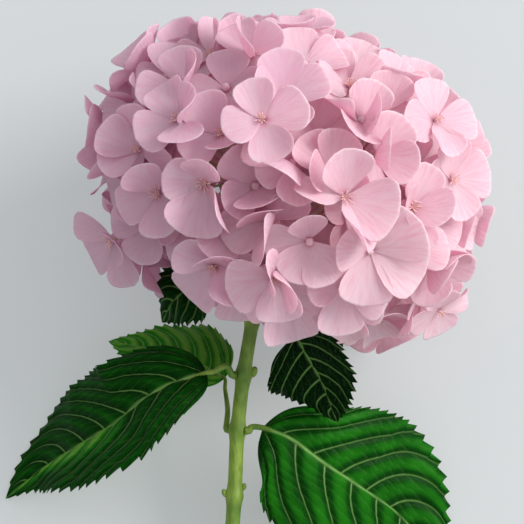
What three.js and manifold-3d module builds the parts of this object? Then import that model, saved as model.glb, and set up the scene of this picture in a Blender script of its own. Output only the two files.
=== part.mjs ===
// A cut mophead hydrangea lying on a flat surface: one leafy stem, six leaves, the branches
// inside the head and forty-six four-sepalled florets. Millimetres, +Z up, head toward +Y.
// The flower is laid out in its own frame (x right, y up the stem, z toward the side that faces
// up) and then tipped until the back of the head and the cut end of the stem both rest at z = 0.
import * as THREE from "three";
import { mergeVertices } from "three/addons/utils/BufferGeometryUtils.js";
import Module from "manifold-3d";

const wasm = await Module();
wasm.setup();

// ---- sizes ---------------------------------------------------------------------------------
const stemBelowHead = 235; // along the flower's y, from the foot of the head to the cut
const stemRadius = 3.3;
const stemCutRadius = 3.9;
const nodeSwelling = 0.9; // added to the stem's radius at each leaf node
const crownRadius = 3.6; // knuckle at the top of the stem, inside the head
const crownHeight = 24; // above the foot of the head

const headHalfWidth = 90;
const headHalfHeight = 73;
const headFrontDepth = 76;
const headBackDepth = 76;
const headSide = 15; // middle of the head, to the right of its foot
const headRise = 61; // middle of the head, above its foot
const headTilt = THREE.MathUtils.degToRad(-10);

const branchCount = 7;
const branchRadius = 1.5;
const branchKnob = 3.2;
const branchReach = 0.5; // how far out toward the florets a branch ends

const sepalLength = 21.5;
const sepalHalfWidth = 10.6;
const sepalThickness = 0.7;
const sepalLift = 0.3; // rise of an open sepal for its length
const sepalCup = 1.6; // how far its edges stand above its midline
const budRadius = 2.1;
const pedicelRadius = 0.75;
const floretCount = 46;

const leafThickness = 0.9;
const petioleRadius = 1.7;
const gap = 0.35; // left between neighbouring pieces

// ---- how the flower lies -------------------------------------------------------------------
const slope = Math.asin((headBackDepth - stemCutRadius) / (headRise + stemBelowHead));
const footHeight = headBackDepth - headRise * Math.sin(slope);
const layDown = new THREE.Matrix4()
  .makeTranslation(0, 0, footHeight)
  .multiply(new THREE.Matrix4().makeRotationX(slope));
const laid = (p) => p.clone().applyMatrix4(layDown);
const laidDirection = (d) => d.clone().transformDirection(layDown);
const v = (x, y, z) => new THREE.Vector3(x, y, z);
// flower-frame z of the surface below a place at height y on the stem
const surfaceBelow = (y) => -(footHeight + y * Math.sin(slope)) / Math.cos(slope);

// ---- solids --------------------------------------------------------------------------------
function solid(points, triangles) {
  const positions = new Float32Array(points.length * 3);
  points.forEach((p, i) => p.toArray(positions, i * 3));
  return new wasm.Manifold(
    new wasm.Mesh({
      numProp: 3,
      vertProperties: positions,
      triVerts: new Uint32Array(triangles.flat()),
    }),
  );
}

function solidOfGeometry(geometry) {
  geometry.deleteAttribute("normal");
  geometry.deleteAttribute("uv");
  const merged = mergeVertices(geometry, 1e-4);
  return new wasm.Manifold(
    new wasm.Mesh({
      numProp: 3,
      vertProperties: merged.attributes.position.array,
      triVerts: new Uint32Array(merged.index.array),
    }),
  );
}

function ball(centre, radius, across = 6, down = 4) {
  const geometry = new THREE.SphereGeometry(radius, across, down);
  geometry.translate(centre.x, centre.y, centre.z);
  return solidOfGeometry(geometry);
}

function joined(solids) {
  return solids.reduce((sum, part) => sum.add(part));
}

// A round rod along points, each with its own radius.
function rod(points, radii, sides) {
  const rings = [];
  const path = points.map((p) => p.clone());
  let side = null;
  path.forEach((p, i) => {
    const ahead = path[Math.min(i + 1, path.length - 1)];
    const behind = path[Math.max(i - 1, 0)];
    const along = ahead.clone().sub(behind).normalize();
    if (!side) {
      side = Math.abs(along.z) < 0.9 ? v(0, 0, 1) : v(1, 0, 0);
    }
    side.addScaledVector(along, -side.dot(along)).normalize();
    const other = along.clone().cross(side);
    for (let k = 0; k < sides; k++) {
      const turn = (2 * Math.PI * k) / sides;
      rings.push(
        p
          .clone()
          .addScaledVector(side, radii[i] * Math.cos(turn))
          .addScaledVector(other, radii[i] * Math.sin(turn)),
      );
    }
  });
  const triangles = [];
  for (let i = 0; i + 1 < path.length; i++) {
    for (let k = 0; k < sides; k++) {
      const a = i * sides + k;
      const b = i * sides + ((k + 1) % sides);
      triangles.push([a, b, b + sides], [a, b + sides, a + sides]);
    }
  }
  const last = (path.length - 1) * sides;
  for (let k = 1; k + 1 < sides; k++) {
    triangles.push([0, k + 1, k], [last, last + k, last + k + 1]);
  }
  return solid(rings, triangles);
}

// A thin sheet: middle points, the way its upper face looks at each, its triangles and its rim.
function sheet(points, ups, thickness, triangles, rim) {
  const count = points.length;
  const upper = points.map((p, i) => p.clone().addScaledVector(ups[i], thickness / 2));
  const lower = points.map((p, i) => p.clone().addScaledVector(ups[i], -thickness / 2));
  const faces = triangles.map((t) => t.slice());
  triangles.forEach(([a, b, c]) => faces.push([a + count, c + count, b + count]));
  rim.forEach((a, i) => {
    const b = rim[(i + 1) % rim.length];
    faces.push([a + count, b + count, b], [a + count, b, a]);
  });
  return solid([...upper, ...lower], faces);
}

// ---- stem ----------------------------------------------------------------------------------
// Places along the stem in the flower's frame. Leaves leave it at the named nodes.
const nodeHeights = { upper: -6, middle: -34, lower: -61, bottom: -93 };
const stemLine = new THREE.CatmullRomCurve3(
  [
    v(-17, -stemBelowHead, 0),
    v(-14, -stemBelowHead * 0.68, 0),
    v(-9.5, nodeHeights.bottom, 0),
    v(-8, nodeHeights.lower, 0),
    v(-5, nodeHeights.middle, 0),
    v(-0.5, nodeHeights.upper, 0),
    v(3.5, crownHeight, 0),
  ],
  false,
  "centripetal",
);

function stemAt(height) {
  let low = 0;
  let high = 1;
  for (let i = 0; i < 40; i++) {
    const middle = (low + high) / 2;
    if (stemLine.getPoint(middle).y < height) {
      low = middle;
    } else {
      high = middle;
    }
  }
  return stemLine.getPoint(low);
}

function stemRadiusAt(height) {
  const down = THREE.MathUtils.clamp(-height / stemBelowHead, 0, 1);
  const plain = THREE.MathUtils.lerp(stemRadius, stemCutRadius, down);
  const near = Object.values(nodeHeights).map((at) => Math.exp(-(((height - at) / 4) ** 2)));
  return plain + nodeSwelling * Math.max(...near);
}

function makeStem() {
  const heights = [-stemBelowHead, -stemBelowHead * 0.85, -stemBelowHead * 0.7];
  heights.push(-stemBelowHead * 0.55);
  Object.values(nodeHeights)
    .sort((a, b) => a - b)
    .forEach((at) => heights.push(at - 6, at - 2.5, at, at + 2.5, at + 6));
  heights.push(10, crownHeight);
  heights.sort((a, b) => a - b);
  const points = heights.map((at) => stemAt(at));
  const stem = rod(points, heights.map(stemRadiusAt), 10);
  const crown = ball(stemAt(crownHeight), crownRadius, 8, 6);
  // resting buds in the leaf axils, and the short side shoot under the head
  const buds = [
    [nodeHeights.middle, 1, 2.3],
    [nodeHeights.bottom, -1, 1.7],
    [nodeHeights.bottom + 3, 1, 1.5],
  ].map(([at, toward, radius]) => {
    const beside = stemAt(at).add(v(toward * (stemRadiusAt(at) + radius * 0.25), 1, 0));
    return ball(beside, radius);
  });
  const shootFoot = stemAt(nodeHeights.upper - 6);
  const shootRadius = 1.4;
  const shoot = rod(
    [shootFoot, shootFoot.clone().add(v(-4.6, 9, 1)), shootFoot.clone().add(v(-7, 19, 2))],
    [shootRadius, shootRadius, shootRadius * 0.7],
    6,
  );
  return joined([stem, crown, ...buds, shoot]);
}

// ---- leaves --------------------------------------------------------------------------------
// Each leaf: its node, its petiole and midrib as offsets from the stem's middle there, the share
// of the way down to the surface at each point of the midrib, the way the blade faces near its
// foot and near its tip, its half width, where its two sides are broadest and how square their
// shoulders are, its fold along the midrib, how its sides droop and its teeth.
const leaves = [
  {
    name: "leaf_left",
    node: "middle",
    petiole: [[-2, 1, 1], [-8, 4.4, 4], [-15, 1.6, 5], [-18, 1.2, 5]],
    midrib: [[-18, 1.2, 5], [-37, -5, 6], [-50, -13, 4], [-61, -22.5, 0], [-81, -35.5, -10],
      [-103, -50.5, -24], [-121.5, -65, -34]],
    down: [0, 0, 0, 0, 0.1, 0.55, 1],
    faces: [[-0.15, 0.6, 0.78], [-0.38, 0.52, 0.76]],
    halfWidth: 34,
    widest: [0.55, 0.4],
    shoulder: [0.42, 0.42],
    fold: 0.33,
    droop: 0.12,
    teeth: 11,
    hue: 0x2f7a2a,
  },
  {
    name: "leaf_right",
    node: "lower",
    petiole: [[2, 0.5, 1], [6.5, 1.6, 3], [12.4, 1.5, 4.5]],
    midrib: [[12.4, 1.5, 4.5], [24.6, -2.9, 6], [42, -15.6, 3], [60, -28.5, -4], [80.5, -44.5, -12],
      [104, -72, -26]],
    down: [0, 0, 0, 0.1, 0.4, 1],
    faces: [[-0.1, 0.2, 0.97], [0.1, 0.15, 0.98]],
    halfWidth: 41,
    widest: [0.4, 0.56],
    shoulder: [0.4, 0.7],
    fold: 0.1,
    droop: 0.16,
    teeth: 12,
    hue: 0x2c8526,
  },
  {
    name: "leaf_back_left",
    node: "lower",
    petiole: [[-2, 0.6, -1.4], [-5, 9, -9], [-6.5, 19, -19], [-7, 24, -24]],
    midrib: [[-7, 24, -24], [-22, 31.5, -29], [-42, 37, -33], [-66, 42, -35]],
    down: [0, 0, 0.1, 0.2],
    faces: [[0.1, 0.82, 0.56], [0.05, 0.86, 0.5]],
    halfWidth: 31,
    widest: [0.4, 0.4],
    shoulder: [0.5, 0.5],
    fold: 0.12,
    droop: 0.1,
    teeth: 9,
    hue: 0x4f9440,
  },
  {
    name: "leaf_upper_right",
    node: "upper",
    petiole: [[2, 0.5, 2.5], [10, 1, 9], [17, -3, 13], [21, -8.6, 14]],
    midrib: [[21, -8.6, 14], [27, -19.4, 16], [34, -32, 14], [40.5, -50.5, 8]],
    down: [0, 0, 0, 0],
    faces: [[-0.6, -0.2, 0.77], [-0.62, -0.28, 0.73]],
    halfWidth: 28,
    widest: [0.4, 0.4],
    shoulder: [0.42, 0.42],
    fold: 0.33,
    droop: 0.1,
    teeth: 9,
    hue: 0x17401c,
  },
  {
    name: "leaf_upper_left",
    node: "upper",
    petiole: [[-2.2, 0.5, -2.5], [-8, 8, -10], [-14, 15, -13]],
    midrib: [[-14, 15, -13], [-26, 16, -14], [-38, 9, -15], [-46, -3, -19]],
    down: [0, 0, 0, 0.1],
    faces: [[-0.1, 0.6, 0.79], [-0.35, 0.45, 0.82]],
    halfWidth: 21,
    widest: [0.45, 0.45],
    shoulder: [0.5, 0.5],
    fold: 0.15,
    droop: 0.1,
    teeth: 8,
    hue: 0x1e5220,
  },
  {
    name: "leaf_small_right",
    node: "upper",
    petiole: [[2.2, 1.5, -2.5], [12, 4, -15], [22, 2, -22]],
    midrib: [[22, 2, -22], [33, -1.5, -24], [44, -6, -27], [55, -13, -31]],
    down: [0, 0, 0, 0.05],
    faces: [[0, 0.5, 0.86], [0.15, 0.35, 0.92]],
    halfWidth: 13,
    widest: [0.45, 0.45],
    shoulder: [0.5, 0.5],
    fold: 0.12,
    droop: 0.1,
    teeth: 7,
    hue: 0x2f6f2a,
  },
];

// Half width of a blade along its length, as a share of the greatest: a foot as round as its
// shoulder says, the broadest place at widest, and a drawn-out tip.
function bladeWidth(s, widest, shoulder) {
  if (s < widest) {
    return Math.sin((0.5 * Math.PI * s) / widest) ** shoulder;
  }
  const out = (s - widest) / (1 - widest);
  return Math.max(0, Math.cos(0.5 * Math.PI * out)) ** 0.9 * (1 - 0.25 * out);
}

// The petiole starts square to the stem, just clear of it.
function petioleFoot(leaf, node) {
  const [x, , z] = leaf.petiole[0];
  const away = v(x, 0, z).normalize();
  const skin = stemRadiusAt(nodeHeights[leaf.node]) + gap;
  return [skin, skin + petioleRadius].map((out) => node.clone().addScaledVector(away, out));
}

function leafPoints(leaf) {
  const node = stemAt(nodeHeights[leaf.node]);
  const placed = (offset, down = 0) => {
    const p = node.clone().add(v(...offset));
    const resting = surfaceBelow(p.y) + leafThickness / 2 / Math.cos(slope);
    p.z = THREE.MathUtils.lerp(p.z, resting, down);
    return p;
  };
  return {
    petiole: [...petioleFoot(leaf, node), ...leaf.petiole.slice(1).map((offset) => placed(offset))],
    midrib: leaf.midrib.map((offset, i) => placed(offset, leaf.down[i])),
  };
}

function makeLeaf(leaf) {
  const { petiole, midrib } = leafPoints(leaf);
  const line = new THREE.CatmullRomCurve3(midrib, false, "centripetal");
  const stations = 2 * leaf.teeth + 1;
  const columns = [-1, -0.55, 0, 0.55, 1];
  const points = [];
  const ups = [];
  const faceFoot = v(...leaf.faces[0]);
  const faceTip = v(...leaf.faces[1]);
  for (let i = 0; i < stations; i++) {
    const s = i / (stations - 1);
    const along = line.getTangentAt(s);
    const up = faceFoot.clone().lerp(faceTip, s);
    up.addScaledVector(along, -up.dot(along)).normalize();
    const across = up.clone().cross(along);
    const tooth = i % 2 === 1 ? 1.035 : 0.965;
    const least = i === 0 ? petioleRadius * 0.7 : 0.5;
    columns.forEach((t) => {
      const side = t < 0 ? 0 : 1;
      const share = bladeWidth(s, leaf.widest[side], leaf.shoulder[side]);
      const half = Math.max(least, leaf.halfWidth * share * tooth);
      const rise = half * (Math.abs(t) * Math.sin(leaf.fold) - leaf.droop * t * t);
      const p = laid(
        line
          .getPointAt(s)
          .addScaledVector(across, half * t * Math.cos(leaf.fold))
          .addScaledVector(up, rise),
      );
      const facing = laidDirection(up);
      if (p.z < leafThickness / 2) {
        p.z = leafThickness / 2;
        facing.set(0, 0, 1);
      }
      points.push(p);
      ups.push(facing);
    });
  }
  const width = columns.length;
  const triangles = [];
  for (let i = 0; i + 1 < stations; i++) {
    for (let k = 0; k + 1 < width; k++) {
      const a = i * width + k;
      triangles.push([a, a + width, a + width + 1], [a, a + width + 1, a + 1]);
    }
  }
  const rim = [];
  for (let i = 0; i < stations; i++) rim.push(i * width);
  for (let k = 1; k < width; k++) rim.push((stations - 1) * width + k);
  for (let i = stations - 2; i >= 0; i--) rim.push(i * width + width - 1);
  for (let k = width - 2; k > 0; k--) rim.push(k);
  const blade = sheet(points, ups, leafThickness, triangles, rim);
  // the petiole runs on under the blade as the foot of its midrib
  const ribEnds = [0.12, 0.3].map((s) => {
    const along = line.getTangentAt(s);
    const up = faceFoot.clone().lerp(faceTip, s);
    up.addScaledVector(along, -up.dot(along)).normalize();
    return line.getPointAt(s).addScaledVector(up, -leafThickness * 0.4);
  });
  const stalk = [...petiole, ...ribEnds].map((p) => laid(p));
  const radii = stalk.map((p, i) => {
    const share = Math.max(0, i - petiole.length + 1) / 2;
    return petioleRadius * (1 - 0.62 * share);
  });
  return joined([blade, rod(stalk, radii, 6)]);
}

// ---- head ----------------------------------------------------------------------------------
const headMiddle = v(headSide, headRise, 0);
const headTurn = new THREE.Matrix4().makeRotationZ(headTilt);

// Place on the dome, and the way out of it, for a direction (x across, y up, z to the front).
function domeAt(direction) {
  const depth = direction.z > 0 ? headFrontDepth : headBackDepth;
  const reach = v(headHalfWidth, headHalfHeight, depth);
  const place = direction.clone().multiply(reach).applyMatrix4(headTurn).add(headMiddle);
  const out = direction.clone().divide(reach).applyMatrix4(headTurn).normalize();
  return { place, out };
}

// Points spread evenly over a sphere.
function spread(count) {
  const golden = Math.PI * (3 - Math.sqrt(5));
  return Array.from({ length: count }, (_, i) => {
    const y = 1 - (2 * i + 1) / count;
    const ring = Math.sqrt(1 - y * y);
    return v(ring * Math.cos(i * golden), y, ring * Math.sin(i * golden));
  });
}

// One branch goes up the middle of the head and the others stand round it.
const crown = stemAt(crownHeight);
const knobs = Array.from({ length: branchCount }, (_, i) => {
  if (i === 0) {
    return v(0.05, 1, 0.1).normalize();
  }
  const turn = (2 * Math.PI * i) / (branchCount - 1);
  return v(Math.cos(turn), i % 2 === 0 ? -0.05 : -0.3, Math.sin(turn)).normalize();
}).map((d) => domeAt(d).place.sub(headMiddle).multiplyScalar(branchReach).add(headMiddle));

function makeBranch(knob) {
  const out = knob.clone().sub(crown).normalize();
  const foot = crown.clone().addScaledVector(out, crownRadius + gap);
  const middle = foot.clone().lerp(knob, 0.5).add(v(0, 1.5, 0));
  const arm = rod([foot, middle, knob], [branchRadius, branchRadius, branchRadius * 0.8], 6);
  return joined([arm, ball(knob, branchKnob, 6, 4)]);
}

// The florets of the side that faces up, each as a place across and up the dome (shares of its
// half width and half height), the turn of its first sepal in degrees, its size, how far it
// stands out in millimetres and how it leans.
const frontFlorets = [
  [-0.74, -0.01, 65, 1.0, 2, [-0.1, 0.25]], [-0.39, -0.15, 75, 1.04, 0, [0, 0]],
  [0.02, 0.06, 50, 1.0, 0, [-0.1, 0.1]], [0.27, -0.08, 85, 1.06, 4, [0, 0.05]],
  [-0.05, -0.33, 10, 1.05, -2, [-0.05, 0]], [0.45, -0.35, -8, 1.12, 6, [0, 0.05]],
  [0.03, -0.58, 2, 1.05, 3, [0, 0]], [-0.27, -0.62, 55, 1.0, 0, [-0.1, 0]],
  [0.82, -0.38, 40, 1.0, 0, [0, 0]], [0.9, -0.62, -60, 0.85, 9, [0, 0]],
  [-0.8, -0.55, 42, 0.95, 5, [0, 0]], [0.84, 0.16, 15, 1.0, 0, [0, 0]],
  [0.32, 0.4, 65, 1.0, 0, [0, 0]], [0.25, 0.69, 10, 1.0, 0, [0, 0]],
  [-0.29, 0.71, 30, 1.0, 0, [0, 0]], [-0.62, 0.45, 75, 1.0, 0, [0, 0]],
  [-0.15, 0.24, 30, 0.98, -2, [0, 0]], [-0.53, 0.18, 20, 1.0, 0, [0, 0.1]],
  [0.66, 0.46, 30, 1.0, 0, [0, 0]], [0.4, -0.78, 30, 1.0, -2, [0, 0]],
  [-0.8, -0.25, 45, 0.9, -5, [0, 0]],
];

function frontPlacing([x, y, turn, size, outward, lean]) {
  const direction = v(x, y, Math.sqrt(Math.max(0.03, 1 - x * x - y * y))).normalize();
  const { place, out } = domeAt(direction);
  const facing = out.clone().add(v(lean[0], lean[1], 0.25)).normalize();
  return { place: place.addScaledVector(out, outward), out, facing, turn, size };
}

// The rest go one by one into the widest gap left, clear of the opening round the stem.
function gapPlacing(placed, candidates, index) {
  let best = null;
  candidates.forEach((direction) => {
    const { place, out } = domeAt(direction);
    const room = Math.min(...placed.map((other) => other.place.distanceTo(place)));
    if (!best || room > best.room + 1e-6) {
      best = { room, place, out };
    }
  });
  const { place, out } = best;
  const size = 0.92 + 0.03 * ((index * 7) % 5);
  return { place, out, facing: out.clone(), turn: (index * 137) % 90, size };
}

// One sepal's outline as shares of its length and half width: beside the notch, where it keeps
// inside its own quarter, at the broadest place and near the end, with two places on its midline.
const besideNotch = 0.42;
const notchSlant = 0.92;
const sepalOutline = [[0.74, 1], [0.93, 0.56]];
const sepalMidline = [0.42, 0.74];
const notchReach = 0.3;
const shortSepal = 0.93; // the second pair of sepals against the first

// A floret is one closed skin: four sepals joined round the bud, upper and lower faces sharing
// their rim, the bud standing on the upper face and the pedicel leaving the lower one.
function makeFloret(placing, outward, turned) {
  const facing = laidDirection(placing.facing);
  const centre = laid(placing.place.clone().addScaledVector(placing.out, outward));
  const angle = THREE.MathUtils.degToRad(placing.turn + turned);
  const away = laidDirection(v(Math.cos(angle), Math.sin(angle), 0));
  if (Math.abs(away.dot(facing)) > 0.95) {
    away.copy(laidDirection(v(0, 0, 1)));
  }
  away.addScaledVector(facing, -away.dot(facing)).normalize();
  const beside = facing.clone().cross(away);
  const spot = (along, across, rise, quarter) => {
    const [x, y] = [[along, -across], [across, along], [-along, across], [-across, -along]][quarter];
    return centre
      .clone()
      .addScaledVector(away, x)
      .addScaledVector(beside, y)
      .addScaledVector(facing, rise);
  };
  const places = [];
  const add = (p) => places.push(p) - 1;
  const quarters = [0, 1, 2, 3].map((quarter) => {
    const length = sepalLength * placing.size * (quarter % 2 === 0 ? 1 : shortSepal);
    const half = sepalHalfWidth * placing.size;
    const rise = (s, t) => length * (sepalLift * s + 0.1 * s * s) + sepalCup * Math.abs(t) * s;
    const put = (s, t) => add(spot(length * s, half * t, rise(s, t), quarter));
    const outline = [[besideNotch, (notchSlant * besideNotch * length) / half], ...sepalOutline];
    const notch = (sepalLength * placing.size * notchReach) / Math.SQRT2;
    return {
      right: outline.map(([s, t]) => put(s, t)),
      left: outline.map(([s, t]) => put(s, -t)),
      middle: sepalMidline.map((s) => put(s, 0)),
      point: put(1.02, 0),
      notch: add(spot(notch, -notch, rise(notchReach, 0.5), quarter)),
    };
  });
  const faces = [];
  const rim = [];
  quarters.forEach(({ right, left, middle, point, notch }, k) => {
    const before = quarters[(k + 3) % 4].notch;
    faces.push([before, right[0], middle[0]], [middle[0], left[0], notch]);
    faces.push([right[0], right[1], middle[1]], [right[0], middle[1], middle[0]]);
    faces.push([middle[0], middle[1], left[1]], [middle[0], left[1], left[0]]);
    faces.push([middle[1], right[1], right[2]], [middle[1], right[2], left[2]]);
    faces.push([middle[1], left[2], left[1]], [right[2], point, left[2]]);
    rim.push(before, ...right, point, left[2], left[1], left[0]);
  });
  const half = sepalThickness / 2;
  const count = places.length;
  let upper = places.map((p) => p.clone().addScaledVector(facing, half));
  let lower = places.map((p) => p.clone().addScaledVector(facing, -half));
  const under = Math.min(...lower.map((p) => p.z), ...upper.map((p) => p.z));
  if (under < 0) {
    // a floret under the head is pressed up by the surface it lies on
    const lift = v(0, 0, -under);
    upper = upper.map((p) => p.add(lift));
    lower = lower.map((p) => p.add(lift));
    centre.add(lift);
  }
  const all = [...upper, ...lower];
  const triangles = faces.slice();
  faces.forEach(([a, b, c]) => triangles.push([a + count, c + count, b + count]));
  rim.forEach((a, i) => {
    const b = rim[(i + 1) % rim.length];
    triangles.push([a + count, b + count, b], [a + count, b, a]);
  });
  const ring = (middle, radius, up, on) => {
    const other = facing.clone().cross(on);
    return [0, 1, 2, 3].map((k) => {
      const a = (k * Math.PI) / 2;
      const p = middle.clone().addScaledVector(facing, up);
      p.addScaledVector(on, radius * Math.cos(a)).addScaledVector(other, radius * Math.sin(a));
      return all.push(p) - 1;
    });
  };
  const collar = (inner, shift, flip) => {
    quarters.forEach(({ middle, notch }, k) => {
      const before = quarters[(k + 3) % 4].notch + shift;
      const put = (a, b, c) => triangles.push(flip ? [a, c, b] : [a, b, c]);
      const next = inner[(k + 1) % 4];
      put(inner[k], before, middle[0] + shift);
      put(inner[k], middle[0] + shift, notch + shift);
      put(inner[k], notch + shift, next);
    });
  };
  const band = (from, to) => {
    from.forEach((a, k) => {
      const b = from[(k + 1) % 4];
      triangles.push([a, b, to[(k + 1) % 4]], [a, to[(k + 1) % 4], to[k]]);
    });
  };
  // the bud
  const budFoot = ring(centre, budRadius * 0.6, half + 0.2, away);
  const budWaist = ring(centre, budRadius, half + budRadius, away);
  const budTop = ring(centre, budRadius * 0.5, half + 1.8 * budRadius, away);
  collar(budFoot, 0, false);
  band(budFoot, budWaist);
  band(budWaist, budTop);
  triangles.push([budTop[0], budTop[1], budTop[2]], [budTop[0], budTop[2], budTop[3]]);
  // the pedicel
  const knob = knobs.reduce((near, k) =>
    k.distanceTo(placing.place) < near.distanceTo(placing.place) ? k : near,
  );
  const root = laid(knob);
  const start = centre.clone().addScaledVector(facing, -half - 0.2);
  const toward = start.clone().sub(root).normalize();
  const foot = root.clone().addScaledVector(toward, branchKnob + gap);
  const neck = ring(centre, pedicelRadius, -half - 0.2, away);
  const square = away
    .clone()
    .applyQuaternion(new THREE.Quaternion().setFromUnitVectors(facing, toward));
  const squareOther = toward.clone().cross(square);
  const end = [0, 1, 2, 3].map((k) => {
    const a = (k * Math.PI) / 2;
    const p = foot.clone().addScaledVector(square, pedicelRadius * Math.cos(a));
    return all.push(p.addScaledVector(squareOther, pedicelRadius * Math.sin(a))) - 1;
  });
  collar(neck, count, true);
  band(end, neck);
  triangles.push([end[0], end[2], end[1]], [end[0], end[3], end[2]]);
  return solid(all, triangles);
}

// ---- assembly ------------------------------------------------------------------------------
function material(colour, roughness) {
  return new THREE.MeshStandardMaterial({ color: colour, roughness, metalness: 0 });
}

const stemGreen = 0x86a851;
const branchGreen = 0xb9c48a;
const petalPinks = [0xeec3d2, 0xe9b4c8, 0xf3d3de];

const flower = new THREE.Group();
flower.name = "cut_hydrangea";
const solids = [];

function addNode(name, body, colour, roughness) {
  const made = body.getMesh();
  const geometry = new THREE.BufferGeometry();
  geometry.setAttribute("position", new THREE.BufferAttribute(made.vertProperties, 3));
  geometry.setIndex(new THREE.BufferAttribute(made.triVerts, 1));
  geometry.computeVertexNormals();
  const mesh = new THREE.Mesh(geometry, material(colour, roughness));
  mesh.name = name;
  flower.add(mesh);
  solids.push({ name, body, box: body.boundingBox() });
}

function laidSolid(body) {
  return body.transform(layDown.elements);
}

function clear(body) {
  const box = body.boundingBox();
  return solids.every((other) => {
    const apart = [0, 1, 2].some(
      (k) => box.min[k] > other.box.max[k] + gap || box.max[k] < other.box.min[k] - gap,
    );
    return apart || body.minGap(other.body, gap) >= gap * 0.9;
  });
}

addNode("stem", laidSolid(makeStem()), stemGreen, 0.55);
leaves.forEach((leaf) => addNode(leaf.name, makeLeaf(leaf), leaf.hue, 0.5));
knobs.forEach((knob, i) => {
  addNode(`branch_${i + 1}`, laidSolid(makeBranch(knob)), branchGreen, 0.6);
});

// Each floret goes in at the first depth and turn at which it clears everything already there,
// in its own place if it can and otherwise a little to one side of it.
const depthStep = sepalLength / 10;
const depthSteps = Array.from({ length: 12 }, (_, i) => [i * depthStep, -i * depthStep]).flat().slice(1);
const turnSteps = [0, 15, -15, 30, -30, 45];
const asideSteps = [0, 0.3, 0.6, 0.9].flatMap((share) =>
  [0, 90, 180, 270].map((turn) => {
    const angle = THREE.MathUtils.degToRad(turn);
    return v(Math.cos(angle), Math.sin(angle), 0).multiplyScalar(share * sepalLength);
  }),
);
const candidates = spread(240).filter((d) => d.y > -0.8 || Math.abs(d.x) > 0.75);
const placed = [];

function settledFloret(placing) {
  for (const aside of asideSteps) {
    const moved = { ...placing, place: placing.place.clone().add(aside) };
    for (const outward of depthSteps) {
      for (const turned of turnSteps) {
        const body = makeFloret(moved, outward, turned);
        if (clear(body)) {
          return body;
        }
      }
    }
  }
  throw new Error("a floret finds no clear place on the dome");
}

for (let i = 0; i < floretCount; i++) {
  const placing =
    i < frontFlorets.length ? frontPlacing(frontFlorets[i]) : gapPlacing(placed, candidates, i);
  placed.push(placing);
  const label = String(i + 1).padStart(2, "0");
  addNode(`floret_${label}`, settledFloret(placing), petalPinks[i % 3], 0.6);
}

// The middle of the base is the origin.
const bounds = new THREE.Box3().setFromObject(flower);
flower.position.set(-(bounds.min.x + bounds.max.x) / 2, -(bounds.min.y + bounds.max.y) / 2, 0);

export default flower;
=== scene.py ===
import math

import bpy
import numpy as np
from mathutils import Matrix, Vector


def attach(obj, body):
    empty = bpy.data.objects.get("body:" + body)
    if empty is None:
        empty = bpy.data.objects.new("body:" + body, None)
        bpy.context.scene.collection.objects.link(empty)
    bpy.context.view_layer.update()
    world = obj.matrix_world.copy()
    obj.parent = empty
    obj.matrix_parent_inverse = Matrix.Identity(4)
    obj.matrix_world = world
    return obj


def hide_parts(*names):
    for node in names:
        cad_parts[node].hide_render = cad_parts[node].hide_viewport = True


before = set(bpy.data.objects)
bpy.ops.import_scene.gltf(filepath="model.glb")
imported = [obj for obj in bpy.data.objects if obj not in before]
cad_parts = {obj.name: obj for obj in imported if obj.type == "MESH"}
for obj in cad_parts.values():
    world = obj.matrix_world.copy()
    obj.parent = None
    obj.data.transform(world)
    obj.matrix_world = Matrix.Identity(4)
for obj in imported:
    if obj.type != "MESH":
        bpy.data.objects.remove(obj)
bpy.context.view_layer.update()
mm = 0.001

# How the flower lies on the floor: the solid model's own driving sizes, in millimetres.
lying = {
    "stemBelowHead": 235,
    "stemCutRadius": 3.9,
    "headRise": 61,
    "headSide": 15,
    "headBackDepth": 76,
    "cutEnd": (-17, -235, 0),
}
slope = math.asin(
    (lying["headBackDepth"] - lying["stemCutRadius"]) / (lying["headRise"] + lying["stemBelowHead"])
)
footHeight = lying["headBackDepth"] - lying["headRise"] * math.sin(slope)
turned = np.array([
    [1, 0, 0],
    [0, math.cos(slope), -math.sin(slope)],
    [0, math.sin(slope), math.cos(slope)],
])


def nodePoints(name):
    # the node's own corners, each once, in millimetres
    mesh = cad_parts[name].data
    flat = np.empty(len(mesh.vertices) * 3, np.float32)
    mesh.vertices.foreach_get("co", flat)
    return np.unique(np.round(flat.reshape(-1, 3).astype(float) / mm, 3), axis=0)


# the middle of the stem's cut end ties the flower's own axes (x across, y up the stem,
# z out of its front) to the frame
stemPoints = nodePoints("stem")
cutEnd = stemPoints[stemPoints[:, 1] < stemPoints[:, 1].min() + 10].mean(axis=0)
shift = cutEnd - turned @ np.array(lying["cutEnd"], float)


def toFrame(points):
    return (np.asarray(points, float) @ turned.T + shift) * mm


def toFlower(points):
    return (np.asarray(points, float) - shift) @ turned


upward = turned.T @ np.array([0, 0, 1.0])


def unit(vectors):
    vectors = np.asarray(vectors, float)
    return vectors / np.maximum(np.linalg.norm(vectors, axis=-1, keepdims=True), 1e-9)


def bell(distance, width):
    # one in the middle, falling to nothing over about two widths
    return np.exp(-((distance / width) ** 2))


def gridFaces(rows, columns, start=0, closed=False):
    # four-cornered faces of a grid of rows x columns points, joined round if closed
    across = columns if closed else columns - 1
    i, k = np.meshgrid(np.arange(rows - 1), np.arange(across), indexing="ij")
    a = i * columns + k
    b = i * columns + (k + 1) % columns
    faces = np.stack([a, b, b + columns, a + columns], axis=-1)
    return faces.reshape(-1, 4) + start


def rimFaces(rows, columns):
    # faces that join a grid's edge, once round, to that of a second grid behind it
    count = rows * columns
    edge = np.r_[
        np.arange(columns),
        np.arange(2, rows + 1) * columns - 1,
        count - 2 - np.arange(columns - 1),
        np.arange(rows - 2, 0, -1) * columns,
    ]
    following = np.roll(edge, -1)
    return np.stack([following + count, edge + count, edge, following], axis=1)


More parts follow.
